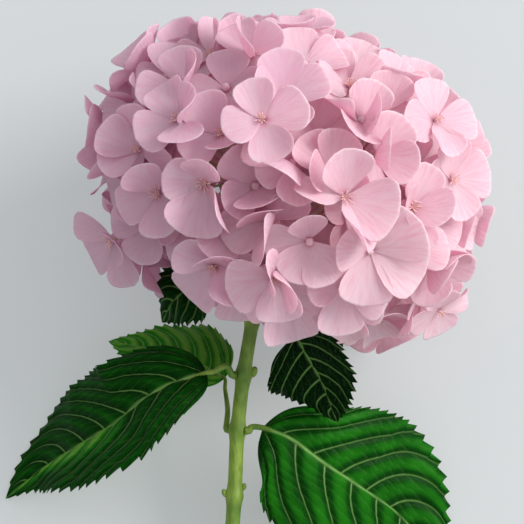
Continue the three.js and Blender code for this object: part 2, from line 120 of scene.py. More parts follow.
def skinPoints(middle, normal, half):
    # the points of two skins, each half the thickness away from the middle surface
    return np.concatenate([
        (middle + normal * half).reshape(-1, 3), (middle - normal * half).reshape(-1, 3),
    ])


class Shape:
    # collects grids of points into one mesh, with a colour layer and a UV place for each point
    def __init__(self):
        self.points = []
        self.quads = []
        self.materials = []
        self.tones = []
        self.places = []
        self.caps = []
        self.smooth = []
        self.count = 0

    def add(self, points, quads, material, tone, place, caps=(), crisp=False):
        total = len(points)
        self.points.append(points)
        self.quads.append(quads + self.count)
        self.materials.append(np.broadcast_to(material, len(quads)))
        self.tones.append(np.broadcast_to(tone, (total, 3)))
        self.places.append(np.broadcast_to(place, (total, 2)))
        self.caps += [(np.asarray(ring) + self.count, material) for ring in caps]
        self.smooth.append(~np.broadcast_to(crisp, len(quads)))
        self.count += total

    def clearFloor(self):
        # a piece that would sink into the floor is pressed up until it lies on it
        lowest = min(toFrame(points)[:, 2].min() for points in self.points)
        lift = turned.T @ np.array([0, 0, max(0.0, 0.0002 - lowest) / mm])
        self.points = [points + lift for points in self.points]
        return lift

    def build(self, name, materials):
        points = toFrame(np.concatenate(self.points))
        quads = np.concatenate(self.quads)
        kinds = np.concatenate(self.materials)
        faces = quads.tolist() + [ring.tolist() for ring, _ in self.caps]
        kinds = kinds.tolist() + [material for _, material in self.caps]
        mesh = bpy.data.meshes.new(name)
        mesh.from_pydata(points.tolist(), [], faces)
        for material in materials:
            mesh.materials.append(material)
        mesh.polygons.foreach_set("material_index", kinds)
        smooth = np.concatenate([*self.smooth, np.ones(len(self.caps), bool)])
        mesh.polygons.foreach_set("use_smooth", smooth)
        tones = mesh.attributes.new("tone", "FLOAT_VECTOR", "POINT")
        tones.data.foreach_set("vector", np.concatenate(self.tones).astype(np.float32).ravel())
        corners = np.empty(len(mesh.loops), np.int32)
        mesh.loops.foreach_get("vertex_index", corners)
        layer = mesh.uv_layers.new(name="place")
        layer.uv.foreach_set(
            "vector", np.concatenate(self.places)[corners].astype(np.float32).ravel()
        )
        mesh.validate()
        piece = bpy.data.objects.new(name, mesh)
        bpy.context.scene.collection.objects.link(piece)
        return piece


def finishPiece(piece, replaced=()):
    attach(piece, "root")
    if replaced:
        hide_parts(*replaced)
    return piece


def smoothPath(points, count):
    # A centripetal Catmull-Rom curve through the points: cubic pieces whose knots stand apart by
    # the square root of the distance. Gives places at even lengths along it and the directions
    # of the path there.
    points = np.asarray(points, float)
    path = np.vstack([2 * points[0] - points[1], points, 2 * points[-1] - points[-2]])
    knots = np.sqrt(np.linalg.norm(np.diff(path, axis=0), axis=1))[:, None]
    p0, p1, p2, p3 = path[:-3], path[1:-2], path[2:-1], path[3:]
    d0, d1, d2 = knots[:-2], knots[1:-1], knots[2:]
    t1 = ((p1 - p0) / d0 - (p2 - p0) / (d0 + d1) + (p2 - p1) / d1) * d1
    t2 = ((p2 - p1) / d1 - (p3 - p1) / (d1 + d2) + (p3 - p2) / d2) * d1
    t = np.linspace(0, 1, 60)[None, :, None]
    p1, p2, t1, t2 = (x[:, None, :] for x in (p1, p2, t1, t2))
    squared, cubed = -3 * p1 + 3 * p2 - 2 * t1 - t2, 2 * p1 - 2 * p2 + t1 + t2
    fine = (p1 + t1 * t + squared * t**2 + cubed * t**3).reshape(-1, 3)
    steps = np.r_[0, np.cumsum(np.linalg.norm(np.diff(fine, axis=0), axis=1))]
    wanted = np.linspace(0, 1, count) * steps[-1]
    places, ahead, behind = (
        np.stack([np.interp(wanted + step, steps, fine[:, k]) for k in range(3)], axis=1)
        for step in (0.0, 0.4, -0.4)
    )
    return places, unit(ahead - behind)


def sidesOf(along, first=(0, 0, 1)):
    # two directions square to each direction along a path, both as even as the path allows
    first = np.broadcast_to(np.asarray(first, float), along.shape)
    first = np.where(np.abs((along * first).sum(-1, keepdims=True)) > 0.95, (1.0, 0, 0), first)
    side = unit(first - along * (along * first).sum(-1, keepdims=True))
    return side, np.cross(along, side)


def tube(path, along, radii, sides, ripple=None):
    # A profile carried along a path: at every place a circle of its radius square to the path,
    # with a ripple in the radius if one is given. Faces look outwards.
    side, other = sidesOf(along)
    turn = np.linspace(0, 2 * np.pi, sides, endpoint=False)
    radii = np.asarray(radii, float)[:, None] * np.ones(sides)
    if ripple is not None:
        radii = radii + ripple
    ring = (
        side[:, None, :] * np.cos(turn)[None, :, None]
        + other[:, None, :] * np.sin(turn)[None, :, None]
    )
    points = path[:, None, :] + ring * radii[:, :, None]
    faces = gridFaces(len(path), sides, closed=True)
    last = (len(path) - 1) * sides
    caps = [np.arange(sides)[::-1], last + np.arange(sides)]
    return points.reshape(-1, 3), faces, caps


def addTube(shape, path, along, radii, sides, material, tone=(0.5, 0, 0), ripple=None):
    points, faces, caps = tube(path, along, radii, sides, ripple)
    shares = np.repeat(np.linspace(0, 1, len(path)), sides)
    around = np.tile(np.linspace(0, 1, sides, endpoint=False), len(path))
    shape.add(points, faces, material, tone, np.stack([around, shares], axis=1), caps)


def addBall(shape, centre, axis, radii, material, tone, sides=8, rows=6):
    # an egg: circles along its axis whose radius is the square root of what is left of one
    turn = np.linspace(0.06, np.pi - 0.06, rows)
    axis = unit(axis)
    path = centre + axis * (-np.cos(turn) * radii[1])[:, None]
    along = np.repeat(axis[None, :], rows, axis=0)
    addTube(shape, path, along, np.sin(turn) * radii[0], sides, material, tone)


def linear(text):
    # an sRGB hex colour as linear light
    value = np.array([int(text[i:i + 2], 16) for i in (1, 3, 5)]) / 255
    light = np.where(value <= 0.04045, value / 12.92, ((value + 0.055) / 1.055) ** 2.4)
    return (*light.tolist(), 1.0)


def addNode(tree, kind, inputs=None, stops=None, **settings):
    # one shader node with its settings, its inputs (a value or another node's output, by name or
    # place) and, on a colour ramp, its stops
    node = tree.nodes.new("ShaderNode" + kind)
    for name, value in settings.items():
        setattr(node, name, value)
    for key, value in (inputs or {}).items():
        if isinstance(value, bpy.types.NodeSocket):
            tree.links.new(value, node.inputs[key])
        else:
            node.inputs[key].default_value = value
    for i, (position, colour) in enumerate(stops or []):
        band = node.color_ramp.elements
        element = band[i] if i < len(band) else band.new(position)
        element.position = position
        element.color = colour if isinstance(colour, tuple) else (colour, colour, colour, 1)
    return node


def newMaterial(name):
    material = bpy.data.materials.new(name)
    material.use_nodes = True
    material.node_tree.nodes.clear()
    return material, material.node_tree


# Hydrangea sepal: thin, moist, pale pink tissue with a faint bloom. Light comes through it, it is
# deeper pink at the foot, finely veined from foot to rim, and pales to a thin rim; the near-white
# line along the rim is partly paler tissue and partly a painted highlight.
petal = {
    "foot": "#e58aab",
    "middle": "#f9e6f0",
    "outer": "#fcebf3",
    # the rim's near-white: partly the paler thin tissue, partly a painted highlight along the edge
    "rim": "#fffafc",
    # mauve-grey painted shade and near-white painted light, mixed in by where each floret stands in
    # the head
    "shadeMauve": "#e2d2e4",
    "litWhite": "#fffafc",
    "vein": "#efbdd1",
    "through": "#fbb4cc",
    "veinsAcross": 34,  # fine veins side by side over one sepal, about 0.7 mm apart
    "veinsAlong": 2.2,  # how often a vein fades or forks from foot to rim
    "veinShare": 0.55,
    "cloudsPerMetre": 90.0,  # blotches about 11 mm across
    "cloudShare": 0.22,
    "letThrough": 0.54,
    "roughness": 0.55,
}


def petalMaterial():
    material, tree = newMaterial("hydrangea sepal tissue")
    place = addNode(tree, "UVMap", uv_map="place")
    tone = addNode(tree, "Attribute", attribute_name="tone", attribute_type="GEOMETRY")
    parts = addNode(tree, "SeparateXYZ", {"Vector": tone.outputs["Vector"]})
    spots = addNode(tree, "SeparateXYZ", {"Vector": place.outputs["UV"]})
    outward = spots.outputs["Y"]
    base = addNode(tree, "ValToRGB", {"Fac": outward}, [
        (0.0, linear(petal["foot"])),
        (0.26, linear(petal["middle"])),
        (0.62, linear(petal["middle"])),
        (0.93, linear(petal["outer"])),
        (0.975, linear(petal["rim"])),
    ])
    # tone X: share of the mauve-grey painted shade, tone Y: share of the white painted light, tone
    # Z: a number of its own for each sepal
    # painted shade and painted light: the colour is mixed toward mauve-grey and toward white by the
    # tone layer
    shadeMauve = addNode(tree, "Mix", {
        0: parts.outputs["X"], 6: base.outputs["Color"], 7: linear(petal["shadeMauve"]),
    }, data_type="RGBA")
    pale = addNode(tree, "Mix", {
        0: parts.outputs["Y"], 6: shadeMauve.outputs[2], 7: linear(petal["litWhite"]),
    }, data_type="RGBA")
    spread = addNode(tree, "VectorMath", {
        0: place.outputs["UV"], 1: (petal["veinsAcross"], petal["veinsAlong"], 0),
    }, operation="MULTIPLY")
    apart = addNode(tree, "VectorMath", {0: tone.outputs["Vector"], 1: (0, 0, 40)},
                    operation="MULTIPLY")
    drawn = addNode(tree, "VectorMath", {0: spread.outputs[0], 1: apart.outputs[0]},
                    operation="ADD")
    streaks = addNode(tree, "TexNoise", {
        "Vector": drawn.outputs[0], "Scale": 1.0, "Detail": 5.0, "Roughness": 0.7,
    })
    veins = addNode(tree, "ValToRGB", {"Fac": streaks.outputs["Fac"]}, [
        (0.44, 0.0), (0.68, petal["veinShare"]),
    ])
    veined = addNode(tree, "Mix", {
        0: veins.outputs["Color"], 6: pale.outputs[2], 7: linear(petal["vein"]),
    }, data_type="RGBA")
    blotch = addNode(tree, "TexNoise", {
        "Vector": addNode(tree, "TexCoord").outputs["Object"],
        "Scale": petal["cloudsPerMetre"], "Detail": 2.0,
    })
    cloud = addNode(tree, "ValToRGB", {"Fac": blotch.outputs["Fac"]}, [
        (0.35, 0.0), (0.7, petal["cloudShare"]),
    ])
    colour = addNode(tree, "Mix", {
        0: cloud.outputs["Color"], 6: veined.outputs[2], 7: linear(petal["outer"]),
    }, data_type="RGBA")
    bump = addNode(tree, "Bump", {
        "Height": streaks.outputs["Fac"], "Strength": 0.45, "Distance": 0.0005,
    })
    skin = addNode(tree, "BsdfPrincipled", {
        "Base Color": colour.outputs[2], "Roughness": petal["roughness"], "IOR": 1.4,
        "Specular IOR Level": 0.3, "Normal": bump.outputs[0],
    })
    shining = addNode(tree, "Mix", {
        0: 0.5, 6: colour.outputs[2], 7: linear(petal["through"]),
    }, data_type="RGBA")
    glow = addNode(tree, "BsdfTranslucent", {"Color": shining.outputs[2]})
    both = addNode(tree, "MixShader", {
        0: petal["letThrough"], 1: skin.outputs[0], 2: glow.outputs[0],
    })
    addNode(tree, "OutputMaterial", {"Surface": both.outputs[0]})
    return material


# Pedicels, branches and stamens: watery stalk tissue that runs from pale green to pink, slightly
# uneven and half dull.
stalk = {"green": "#b7c58e", "pink": "#dc9fb0", "filament": "#f0bcc6", "knob": "#f3cdb8"}


def plainTissue(name, first, second, roughness, cloudsPerMetre):
    # two close colours clouded together, a soft bump and a dull sheen
    material, tree = newMaterial(name)
    cloud = addNode(tree, "TexNoise", {
        "Vector": addNode(tree, "TexCoord").outputs["Object"],
        "Scale": cloudsPerMetre, "Detail": 3.0,
    })
    colour = addNode(tree, "ValToRGB", {"Fac": cloud.outputs["Fac"]}, [
        (0.35, linear(first)), (0.65, linear(second)),
    ])
    bump = addNode(tree, "Bump", {
        "Height": cloud.outputs["Fac"], "Strength": 0.2, "Distance": 0.0005,
    })
    skin = addNode(tree, "BsdfPrincipled", {
        "Base Color": colour.outputs["Color"], "Roughness": roughness, "Normal": bump.outputs[0],
    })
    addNode(tree, "OutputMaterial", {"Surface": skin.outputs[0]})
    return material


petalSkin = petalMaterial()
stalkSkin = plainTissue("pale pedicel tissue", stalk["green"], stalk["pink"], 0.55, 120.0)
stamenSkin = plainTissue("stamen filament tissue", stalk["filament"], stalk["knob"], 0.5, 600.0)
headSkins = [petalSkin, stalkSkin, stamenSkin]
print("materials of the head made")

sepal = {
    "length": 21.5,
    "halfWidth": 11.8,
    "thickness": 0.35,
    "rows": (0.05, 0.18, 0.34, 0.5, 0.65, 0.79, 0.9, 0.965, 1.0),
    "columns": 17,
    "pointed": 0.03,  # how far the tip stands out of the round end, as a share of the length
}


def sepalPoints(pose, form, rows, columns):
    # One sepal on rays from its foot to its outline. The outline is length * cos(a) along and
    # half width * sin(2a) across, for a from -90 to 90 degrees: narrow at the foot, broadest
    # at seven tenths and blunt at the end. Along its length it bends evenly from one lift angle
    # to the other, across it is an arc rolled to one side, and its rim waves. The three
    # directions of its floret then carry it to its place.
    angle = np.radians(np.linspace(-86, 86, columns))[None, :]
    out = np.array(rows)[:, None]
    length = sepal["length"] * form["size"]
    halfWidth = sepal["halfWidth"] * form["size"]
    along = out * np.cos(angle) * (1 + sepal["pointed"] * bell(angle, 0.16))
    across = out**1.08 * np.sin(2 * angle) * halfWidth * form["width"]
    foot = math.radians(form["foot"])
    bend = math.radians(form["tip"] - form["foot"]) or 1e-3
    lift = foot + bend * along
    x = length * (np.sin(lift) - math.sin(foot)) / bend
    z = length * (math.cos(foot) - np.cos(lift)) / bend
    arc = form["cup"] / halfWidth
    y = np.sin(across * arc) / arc
    up = (1 - np.cos(across * arc)) / arc
    up = up + form["ripple"] * np.sin(angle * 5.3 + form["phase"]) * out**3
    roll = math.radians(form["roll"]) * (0.4 + 0.6 * along)
    y, up = y * np.cos(roll) - up * np.sin(roll), up * np.cos(roll) + y * np.sin(roll)
    x, z = x - up * np.sin(lift), z + up * np.cos(lift)
    facing, away, beside = pose["axes"]
    turn = math.radians(form["turn"])
    direction = math.cos(turn) * away + math.sin(turn) * beside
    square = np.cross(facing, direction)
    foot = pose["centre"] + facing * form["level"]
    return foot + x[..., None] * direction + y[..., None] * square + z[..., None] * facing


def addSepal(shape, pose, form, tone):
    # the sepal's surface with a second skin behind it, joined round the rim
    columns = sepal["columns"]
    middle = sepalPoints(pose, form, sepal["rows"], columns)
    rows = len(middle)
    normal = unit(np.cross(np.gradient(middle, axis=0), np.gradient(middle, axis=1)))
    thinning = np.minimum(1, np.linspace(1, 0, rows) * 5 + 0.45)[:, None, None]
    half = sepal["thickness"] / 2 * thinning
    faces = gridFaces(rows, columns)
    behind = faces + rows * columns
    allFaces = np.concatenate([faces[:, ::-1], behind, rimFaces(rows, columns)])
    across = np.tile(np.linspace(0, 1, columns), rows)
    outward = np.repeat(np.array(sepal["rows"]), columns)
    place = np.stack([across, outward], axis=1)
    crisp = np.arange(len(allFaces)) >= 2 * len(faces)
    points = skinPoints(middle, normal, half)
    shape.add(points, allFaces, 0, tone, np.concatenate([place, place]), crisp=crisp)


# What stands in the middle of a floret: a ring of stamens round a small ovary, or a closed bud.
blossom = {
    "stamens": 9,
    "stamenLength": 5.2,
    "radius": {"open": 0.8, "bud": 1.9, "smallBud": 1.4},
}


def addStamens(shape, pose, random, tone):
    # filaments fanning out of the middle, each a thin bent tube with a small knob
    centre, (facing, away, beside) = pose["centre"], pose["axes"]
    count, long = blossom["stamens"], blossom["stamenLength"] * pose["size"]
    for i in range(count):
        turn = 2 * math.pi * (i + random.uniform(-0.3, 0.3)) / count
        lean = random.uniform(0.25, 0.75)
        out = math.cos(turn) * away + math.sin(turn) * beside
        reach = long * random.uniform(0.75, 1.1)
        tip = centre + reach * (facing * math.cos(lean) + out * math.sin(lean))
        bent = centre + reach * 0.5 * facing + out * reach * 0.14
        path, along = smoothPath([centre + facing * 0.4, bent, tip], 4)
        addTube(shape, path, along, [0.24, 0.2, 0.18, 0.16], 4, 2, tone)
        addBall(shape, tip, tip - bent, (0.42, 0.5), 2, tone, 5, 4)


def addBud(shape, pose, tone):
    # a closed bud: an egg with four shallow furrows
    facing, radius = pose["axes"][0], blossom["radius"][pose["kind"]]
    turn = np.linspace(0.08, np.pi - 0.05, 8)
    path = pose["centre"] + facing * (0.3 + radius * 1.05 * (1 - np.cos(turn)))[:, None]
    around = np.linspace(0, 2 * np.pi, 12, endpoint=False)
    radii = np.sin(turn) * radius
    ripple = -0.12 * radii[:, None] * np.cos(around * 4)[None, :]
    along = np.repeat(facing[None, :], 8, axis=0)
    addTube(shape, path, along, radii, 12, 0, tone, ripple)


def addPedicel(shape, centre, facing, foot, tone):
    # a thin stalk that leaves its foot at a slant and meets the floret square from below
    start = centre - facing * 0.2
    reach = np.linalg.norm(start - foot)
    knee = start - facing * reach * 0.3
    path, along = smoothPath([foot, (foot + knee) / 2 + facing * 0.5, knee, start], 9)
    radii = np.interp(np.linspace(0, 1, 9), [0, 0.8, 1], [0.72, 0.62, 0.95])
    addTube(shape, path, along, radii, 7, 1, tone)


# What the solid florets have: how far the neck ring lies below the middle of their sepals, and
# how long their longest sepal is as a share of a full one.
solid = {"neckBelow": 0.55, "longest": 1.02}


def cadFloret(name):
    # Where the solid floret is: the four corners farthest off are its pedicel's foot. The others
    # are the same after half a turn, so their middle and flattest direction are the floret's own,
    # the farthest of them across is the point of a long sepal, and the neck is the narrow ring.
    points = toFlower(nodePoints(name))
    order = np.argsort(np.linalg.norm(points - points.mean(axis=0), axis=1))
    foot = points[order[-4:]].mean(axis=0)
    rest = points[order[:-4]]
    middle = rest.mean(axis=0)
    _, axes = np.linalg.eigh(np.cov((rest - middle).T))
    facing = axes[:, 0] * np.sign(axes[:, 0] @ (middle - foot))
    height = (rest - middle) @ facing
    flat = rest - middle - height[:, None] * facing
    reach = np.linalg.norm(flat, axis=1)
    away = unit(flat[np.argmax(reach)])
    centre = middle + facing * (height[np.argsort(reach)[:4]].mean() + solid["neckBelow"])
    size = reach.max() / solid["longest"] / sepal["length"]
    return {"centre": centre, "facing": facing, "away": away, "size": size, "foot": foot}


florets = {name: cadFloret(name) for name in sorted(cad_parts) if name.startswith("floret_")}
print("florets read from the frame:", len(florets))

# How single florets of the front grow: what stands in the middle, and for each sepal its
# direction in degrees from the flower's x, its share of the full length, the lift of its foot
# and tip in degrees, its width share and, where it stands on edge, its roll. Florets not named
# here grow at random.
habits = {
    "floret_01": ("open", [(70, 1.05, 25, 45, 1.05), (150, 1.0, 30, 35, 1.0),
                           (205, 0.95, 25, 40, 0.9), (-18, 1.1, 22, 30, 0.95, 78)]),
    "floret_02": ("open", [(165, 0.9, 20, 15, 1.0), (252, 1.1, 8, 12, 1.12),
                           (75, 0.9, 40, 30, 0.95), (-58, 1.15, 20, 15, 0.95, 80)]),
    "floret_03": ("bud", [(140, 1.1, 18, 8, 1.1), (50, 1.0, 60, 75, 1.0),
                          (-85, 0.95, 10, 15, 0.9), (-160, 0.8, 5, 5, 0.9)]),
    "floret_04": ("open", [(97, 1.08, 22, 40, 1.05), (-19, 1.1, 12, 20, 1.1),
                           (-70, 1.2, 24, 20, 0.9, -76), (172, 1.0, 15, 10, 0.9, 74)]),
    "floret_05": ("open", [(50, 0.95, 15, 20, 1.05), (120, 0.95, 20, 25, 1.0),
                           (200, 1.0, 12, 15, 1.05), (-80, 1.2, 20, 20, 0.9, 78)]),
    "floret_06": ("smallBud", [(160, 0.92, 22, 35, 0.95), (35, 1.12, 10, 12, 1.12),
                               (-100, 1.05, 12, 5, 1.0), (-25, 1.15, 2, -8, 1.05)]),
    "floret_07": ("open", [(5, 1.0, 25, 35, 1.0), (190, 1.0, 15, 12, 1.1),
                           (98, 1.05, 25, 30, 0.85, 78), (-80, 0.95, 15, 10, 1.05)]),
    "floret_08": ("open", [(70, 1.0, 15, 20, 1.0), (235, 1.05, 5, -5, 1.1),
                           (-40, 1.05, 30, 30, 0.95, -70), (150, 0.95, 20, 20, 0.95)]),
    "floret_09": ("open", [(60, 1.0, 20, 25, 1.0), (15, 1.0, 28, 40, 0.95),
                           (-125, 1.05, 24, 30, 0.85, 72), (150, 0.95, 15, 25, 0.95)]),
    "floret_11": ("open", [(25, 1.0, 12, 5, 0.95), (155, 1.05, 22, 18, 0.95),
                           (232, 1.05, 12, 5, 0.9), (-45, 1.15, 5, 5, 0.95)]),
}

headMiddle = np.array([lying["headSide"], lying["headRise"], 0.0])

# The rounded head and how a floret without a habit of its own grows in it. The sepals' lifts and
# their rolls are in degrees; a third number is what a floret of the front may lift more.
head = {
    "reach": (90.0, 73.0, 76.0),  # half sizes across, up and out of the front
    "tilt": math.radians(-10),  # leans to the right
    "topInward": 4.5,  # how much further in the topmost florets stand than the solid ones
    "turnedToFront": 0.9,
    "kinds": ["open", "open", "bud"],
    "turn": (-9, 9),
    "length": (0.9, 1.04),
    "foot": (2, 12, 18),
    "tip": (-20, 10, 35),
    "width": (0.92, 1.08),
    "roll": (-14, 14),
    "cup": (0.25, 1.05),
    "ripple": (0.1, 0.4),
}


def floretTone(centre, random):
    # painted light and shade: mauve-grey painted shade toward the shaded left, near-white painted
    # light toward the lit right and the lower rim
    side = (centre[0] - headMiddle[0]) / head["reach"][0]
    low = max(0.0, -(centre[1] - headMiddle[1]) / head["reach"][1])
    shadeMauve = np.clip(0.2 - 0.45 * side + random.uniform(-0.12, 0.12), 0, 0.75)
    litWhite = np.clip(0.15 + 0.4 * side + 0.3 * low + random.uniform(-0.15, 0.15), 0, 0.8)
    return shadeMauve, litWhite, random.uniform(0, 1)


def planFloret(pose, random, habit=None):
    # settles how a floret stands and how each of its sepals would like to grow
    front = np.clip(pose["centre"][2] / lying["headBackDepth"], 0, 1)
    high = np.clip((pose["centre"][1] - headMiddle[1]) / head["reach"][1], 0, 1)
    inward = unit(pose["facing"]) * head["topInward"] * high * (1 - front)
    pose["centre"] = pose["centre"] - inward
    toFront = head["turnedToFront"] * front * (1 - front)
    facing = unit(pose["facing"] + np.array([0, 0, toFront]))
    away = np.array([1.0, 0, 0]) if habit else pose["away"]
    away = unit(away - facing * (away @ facing))
    pose["axes"] = (facing, away, np.cross(facing, away))
    pose["tone"] = floretTone(pose["centre"], random)
    pose["kind"], wanted = habit or (random.choice(head["kinds"]), None)
    if wanted is None:
        footLow, footHigh, footMore = head["foot"]
        tipLow, tipHigh, tipMore = head["tip"]
        wanted = [
            (quarter * 90 + random.uniform(*head["turn"]), random.uniform(*head["length"]),
             random.uniform(footLow, footHigh + footMore * front),
             random.uniform(tipLow, tipHigh + tipMore * front),
             random.uniform(*head["width"]))
            for quarter in range(4)
        ]
    pose["sepals"] = [
        {
            "turn": turn, "size": pose["size"] * share, "foot": foot, "tip": tip, "width": width,
            "roll": rolled[0] if rolled else random.uniform(*head["roll"]),
            "cup": random.uniform(*head["cup"]),
            "ripple": random.uniform(*head["ripple"]), "phase": random.uniform(0, 6.28),
            "level": 0.25 if k % 2 else -0.15,
        }
        for k, (turn, share, foot, tip, width, *rolled) in enumerate(wanted)
    ]


# Crowded sepals give way to each other: each tries these changes of its lift and its roll, in
# degrees, and takes the first one in which it crosses the fewest of its neighbours.
crowding = {
    "changes": [(0, 0), (-10, 0), (12, 0), (0, 25), (0, -25), (10, 45), (10, -45), (24, 0),
                (-20, 0), (18, 68), (18, -68), (38, 25), (38, -25), (52, 0), (66, 0)],
    "rounds": 2,
    "near": 30,  # sepals whose middles are further apart than this can't meet
    "rows": (0.3, 0.7, 1.0),
    "columns": 5,
}


def coarseSepal(pose, form):
    # a few triangles for the sepal, and the lines along its rim and from its foot to the rim
    points = sepalPoints(pose, form, crowding["rows"], crowding["columns"])
    flat = points.reshape(-1, 3)
    quads = gridFaces(len(crowding["rows"]), crowding["columns"])
    triangles = flat[np.concatenate([quads[:, [0, 1, 2]], quads[:, [0, 2, 3]]])]
    rim = np.stack([points[-1, :-1], points[-1, 1:]], axis=1)
    rays = np.stack([points[:-1], points[1:]], axis=2).reshape(-1, 2, 3)
    return triangles, np.concatenate([rim, rays]), flat.mean(axis=0)


def crossings(lines, triangles):
    # how often the lines go through the triangles: the place where each line meets each
    # triangle's plane lies within both
    start, along = lines[:, None, 0], lines[:, None, 1] - lines[:, None, 0]
    corner = triangles[None, :, 0]
    first, second = triangles[None, :, 1] - corner, triangles[None, :, 2] - corner
    square = np.cross(along, second)
    scale = (square * first).sum(-1)
    scale = np.where(np.abs(scale) < 1e-9, 1e-9, scale)
    offset = start - corner
    u = (offset * square).sum(-1) / scale
    other = np.cross(offset, first)
    v = (along * other).sum(-1) / scale
    t = (second * other).sum(-1) / scale
    return int(((u >= 0) & (v >= 0) & (u + v <= 1) & (t >= 0) & (t <= 1)).sum())


def settleSepals(poses):
    # goes round all sepals and moves each out of the way of the others as far as it can
    owners = np.repeat(np.arange(len(poses)), 4)
    forms = [form for pose in poses for form in pose["sepals"]]
    coarse = [coarseSepal(poses[owner], form) for owner, form in zip(owners, forms)]
    triangles, lines, middles = (np.array(part) for part in zip(*coarse))
    wishes = [(form["foot"], form["tip"], form["roll"]) for form in forms]
    for _ in range(crowding["rounds"]):
        left = 0
        for i, form in enumerate(forms):
            best = None
            foot, tip, roll = wishes[i]
            for lifted, rolled in crowding["changes"]:
                form.update(foot=foot + lifted * 0.7, tip=tip + lifted, roll=roll + rolled)
                tried = coarseSepal(poses[owners[i]], form)
                apart = np.linalg.norm(middles - tried[2], axis=1)
                near = (apart < crowding["near"]) & (owners != owners[i])
                count = crossings(tried[1], triangles[near].reshape(-1, 3, 3))
                count += crossings(lines[near].reshape(-1, 2, 3), tried[0])
                if best is None or count < best[0]:
                    best = (count, dict(form), tried)
                if count == 0:
                    break
            form.update(best[1])
            triangles[i], lines[i], middles[i] = best[2]
            left += best[0] > 0
    print("sepals settled,", left, "of", len(forms), "still touch a neighbour")


def makeFloret(name, pose, random, replaced=()):
    shape = Shape()
    shadeMauve, litWhite, own = pose["tone"]
    for k, form in enumerate(pose["sepals"]):
        # each sepal's painted shade and painted light vary a little from its floret's
        tone = (
            np.clip(shadeMauve + random.uniform(-0.08, 0.08), 0, 1),
            np.clip(litWhite + random.uniform(-0.08, 0.12), 0, 1),
            (own + 0.23 * k) % 1,
        )
        addSepal(shape, pose, form, tone)
    tone = (shadeMauve, litWhite, own)
    if pose["kind"] == "open":
        addStamens(shape, pose, random, tone)
        addBud(shape, pose, tone)
    else:
        addBud(shape, pose, (0, 0.8, own))
    lift = shape.clearFloor()
    addPedicel(shape, pose["centre"] + lift, pose["axes"][0], pose["foot"], tone)
    piece = shape.build(name, headSkins)
    return finishPiece(piece, replaced)


# Florets that fill the head between those of the solid model.
filling = {
    "count": 80,
    "seed": 7,
    "candidates": 900,
    "lower": (4.0, 9.0),  # how far their middles lie inside the round head
    "size": (0.88, 1.03),
    "under": 40,  # florets of a second layer, seen only through the gaps
    "underLower": (13.0, 18.0),
    "stemSide": (-0.78, 0.7),  # below this height only directions this far sideways are used
    "behind": (-0.2, -0.9),  # further back than this the head goes on down to this height
    "open": (-24, 27, -42),  # left of, below and in front of this no such floret stands
}


def domeAt(direction):
    # the same rounded head as the solid model's, tilted to the right
    reach, tilt = np.array(head["reach"]), head["tilt"]
    turn = np.array([
        [math.cos(tilt), -math.sin(tilt), 0], [math.sin(tilt), math.cos(tilt), 0], [0, 0, 1],
    ])
    return turn @ (direction * reach) + headMiddle, unit(turn @ (direction / reach))


# Florets of the front that stand between those of the solid model: the place of each on the
# flower's x and y, how far it stands out of the round head, how it leans, and its habit.
between = [
    (34, 61, 0, (-0.1, 0.1), ("open", [(70, 0.95, 15, 25, 1.0), (188, 1.0, 50, 70, 0.85),
                                      (-25, 0.95, 15, 15, 1.0), (130, 0.95, 10, 5, 1.0)])),
    (25, 31, 1, (0.0, 0.1), ("bud", [(100, 0.9, 35, 50, 0.9), (240, 0.95, 20, 25, 0.95),
                                    (190, 0.95, 10, 5, 1.0), (-60, 1.0, 15, 10, 1.05)])),
    (55, 69, 0, (0.0, 0.0), ("open", [(150, 1.0, 45, 65, 0.9), (60, 1.0, 20, 20, 1.05),
                                     (-20, 1.0, 30, 40, 0.95), (-120, 0.95, 15, 10, 1.0)])),
    (-44, 52, -1, (0.0, 0.1), ("open", [(20, 1.0, 18, 18, 1.05), (110, 1.0, 45, 60, 0.9),
                                       (200, 0.95, 15, 10, 1.0), (-70, 1.0, 20, 20, 1.0)])),
    (-14, 78, 0, (0.0, 0.1), ("open", [(30, 1.0, 15, 10, 1.05), (120, 1.0, 25, 35, 1.0),
                                      (205, 1.0, 20, 25, 1.0), (-60, 0.95, 45, 60, 0.9)])),
    (14, 96, 0, (0.0, 0.1), ("open", [(10, 1.0, 15, 10, 1.05), (100, 1.0, 25, 35, 1.0),
                                     (190, 1.0, 40, 60, 0.9), (-80, 1.0, 15, 15, 1.0)])),
    (80, 4, 0, (0.3, 0.0), ("open", [(40, 1.0, 15, 15, 1.05), (130, 1.0, 20, 25, 1.0),
                                    (-140, 1.0, 10, 5, 1.05), (-50, 1.05, 10, 0, 1.05)])),
    (57, -5, 0, (0.1, 0.2), ("open", [(-12, 1.05, 8, 5, 1.1), (80, 0.95, 20, 25, 1.0),
                                     (-170, 0.9, 10, 0, 1.0), (-75, 0.9, 5, -10, 1.1)])),
    (41, 11, 1, (0.0, 0.25), ("open", [(-98, 1.12, 8, 5, 0.95), (-14, 1.05, 8, 0, 1.1),
                                      (80, 0.9, 20, 25, 1.0), (170, 0.9, 10, 5, 1.0)])),
    (13, 6, 0, (0.0, 0.25), ("open", [(-78, 1.12, 6, -6, 1.2), (8, 0.9, 10, 10, 1.0),
                                     (98, 0.9, 15, 15, 1.0), (-165, 0.9, 10, 5, 1.0)])),
    (72, 46, 0, (0.0, 0.1), ("open", [(80, 1.0, 15, 20, 1.05), (170, 1.0, 45, 65, 0.9),
                                     (-10, 1.0, 20, 25, 1.0), (-95, 1.0, 20, 20, 1.0)])),
]


def addedPose(place, centre, facing, size, feet, **more):
    # a floret that no solid one stands for, on the branch nearest to its place
    foot = feet[np.argmin(np.linalg.norm(feet - place, axis=1))]
    return {"centre": centre, "facing": facing, "size": size, "foot": foot, **more}


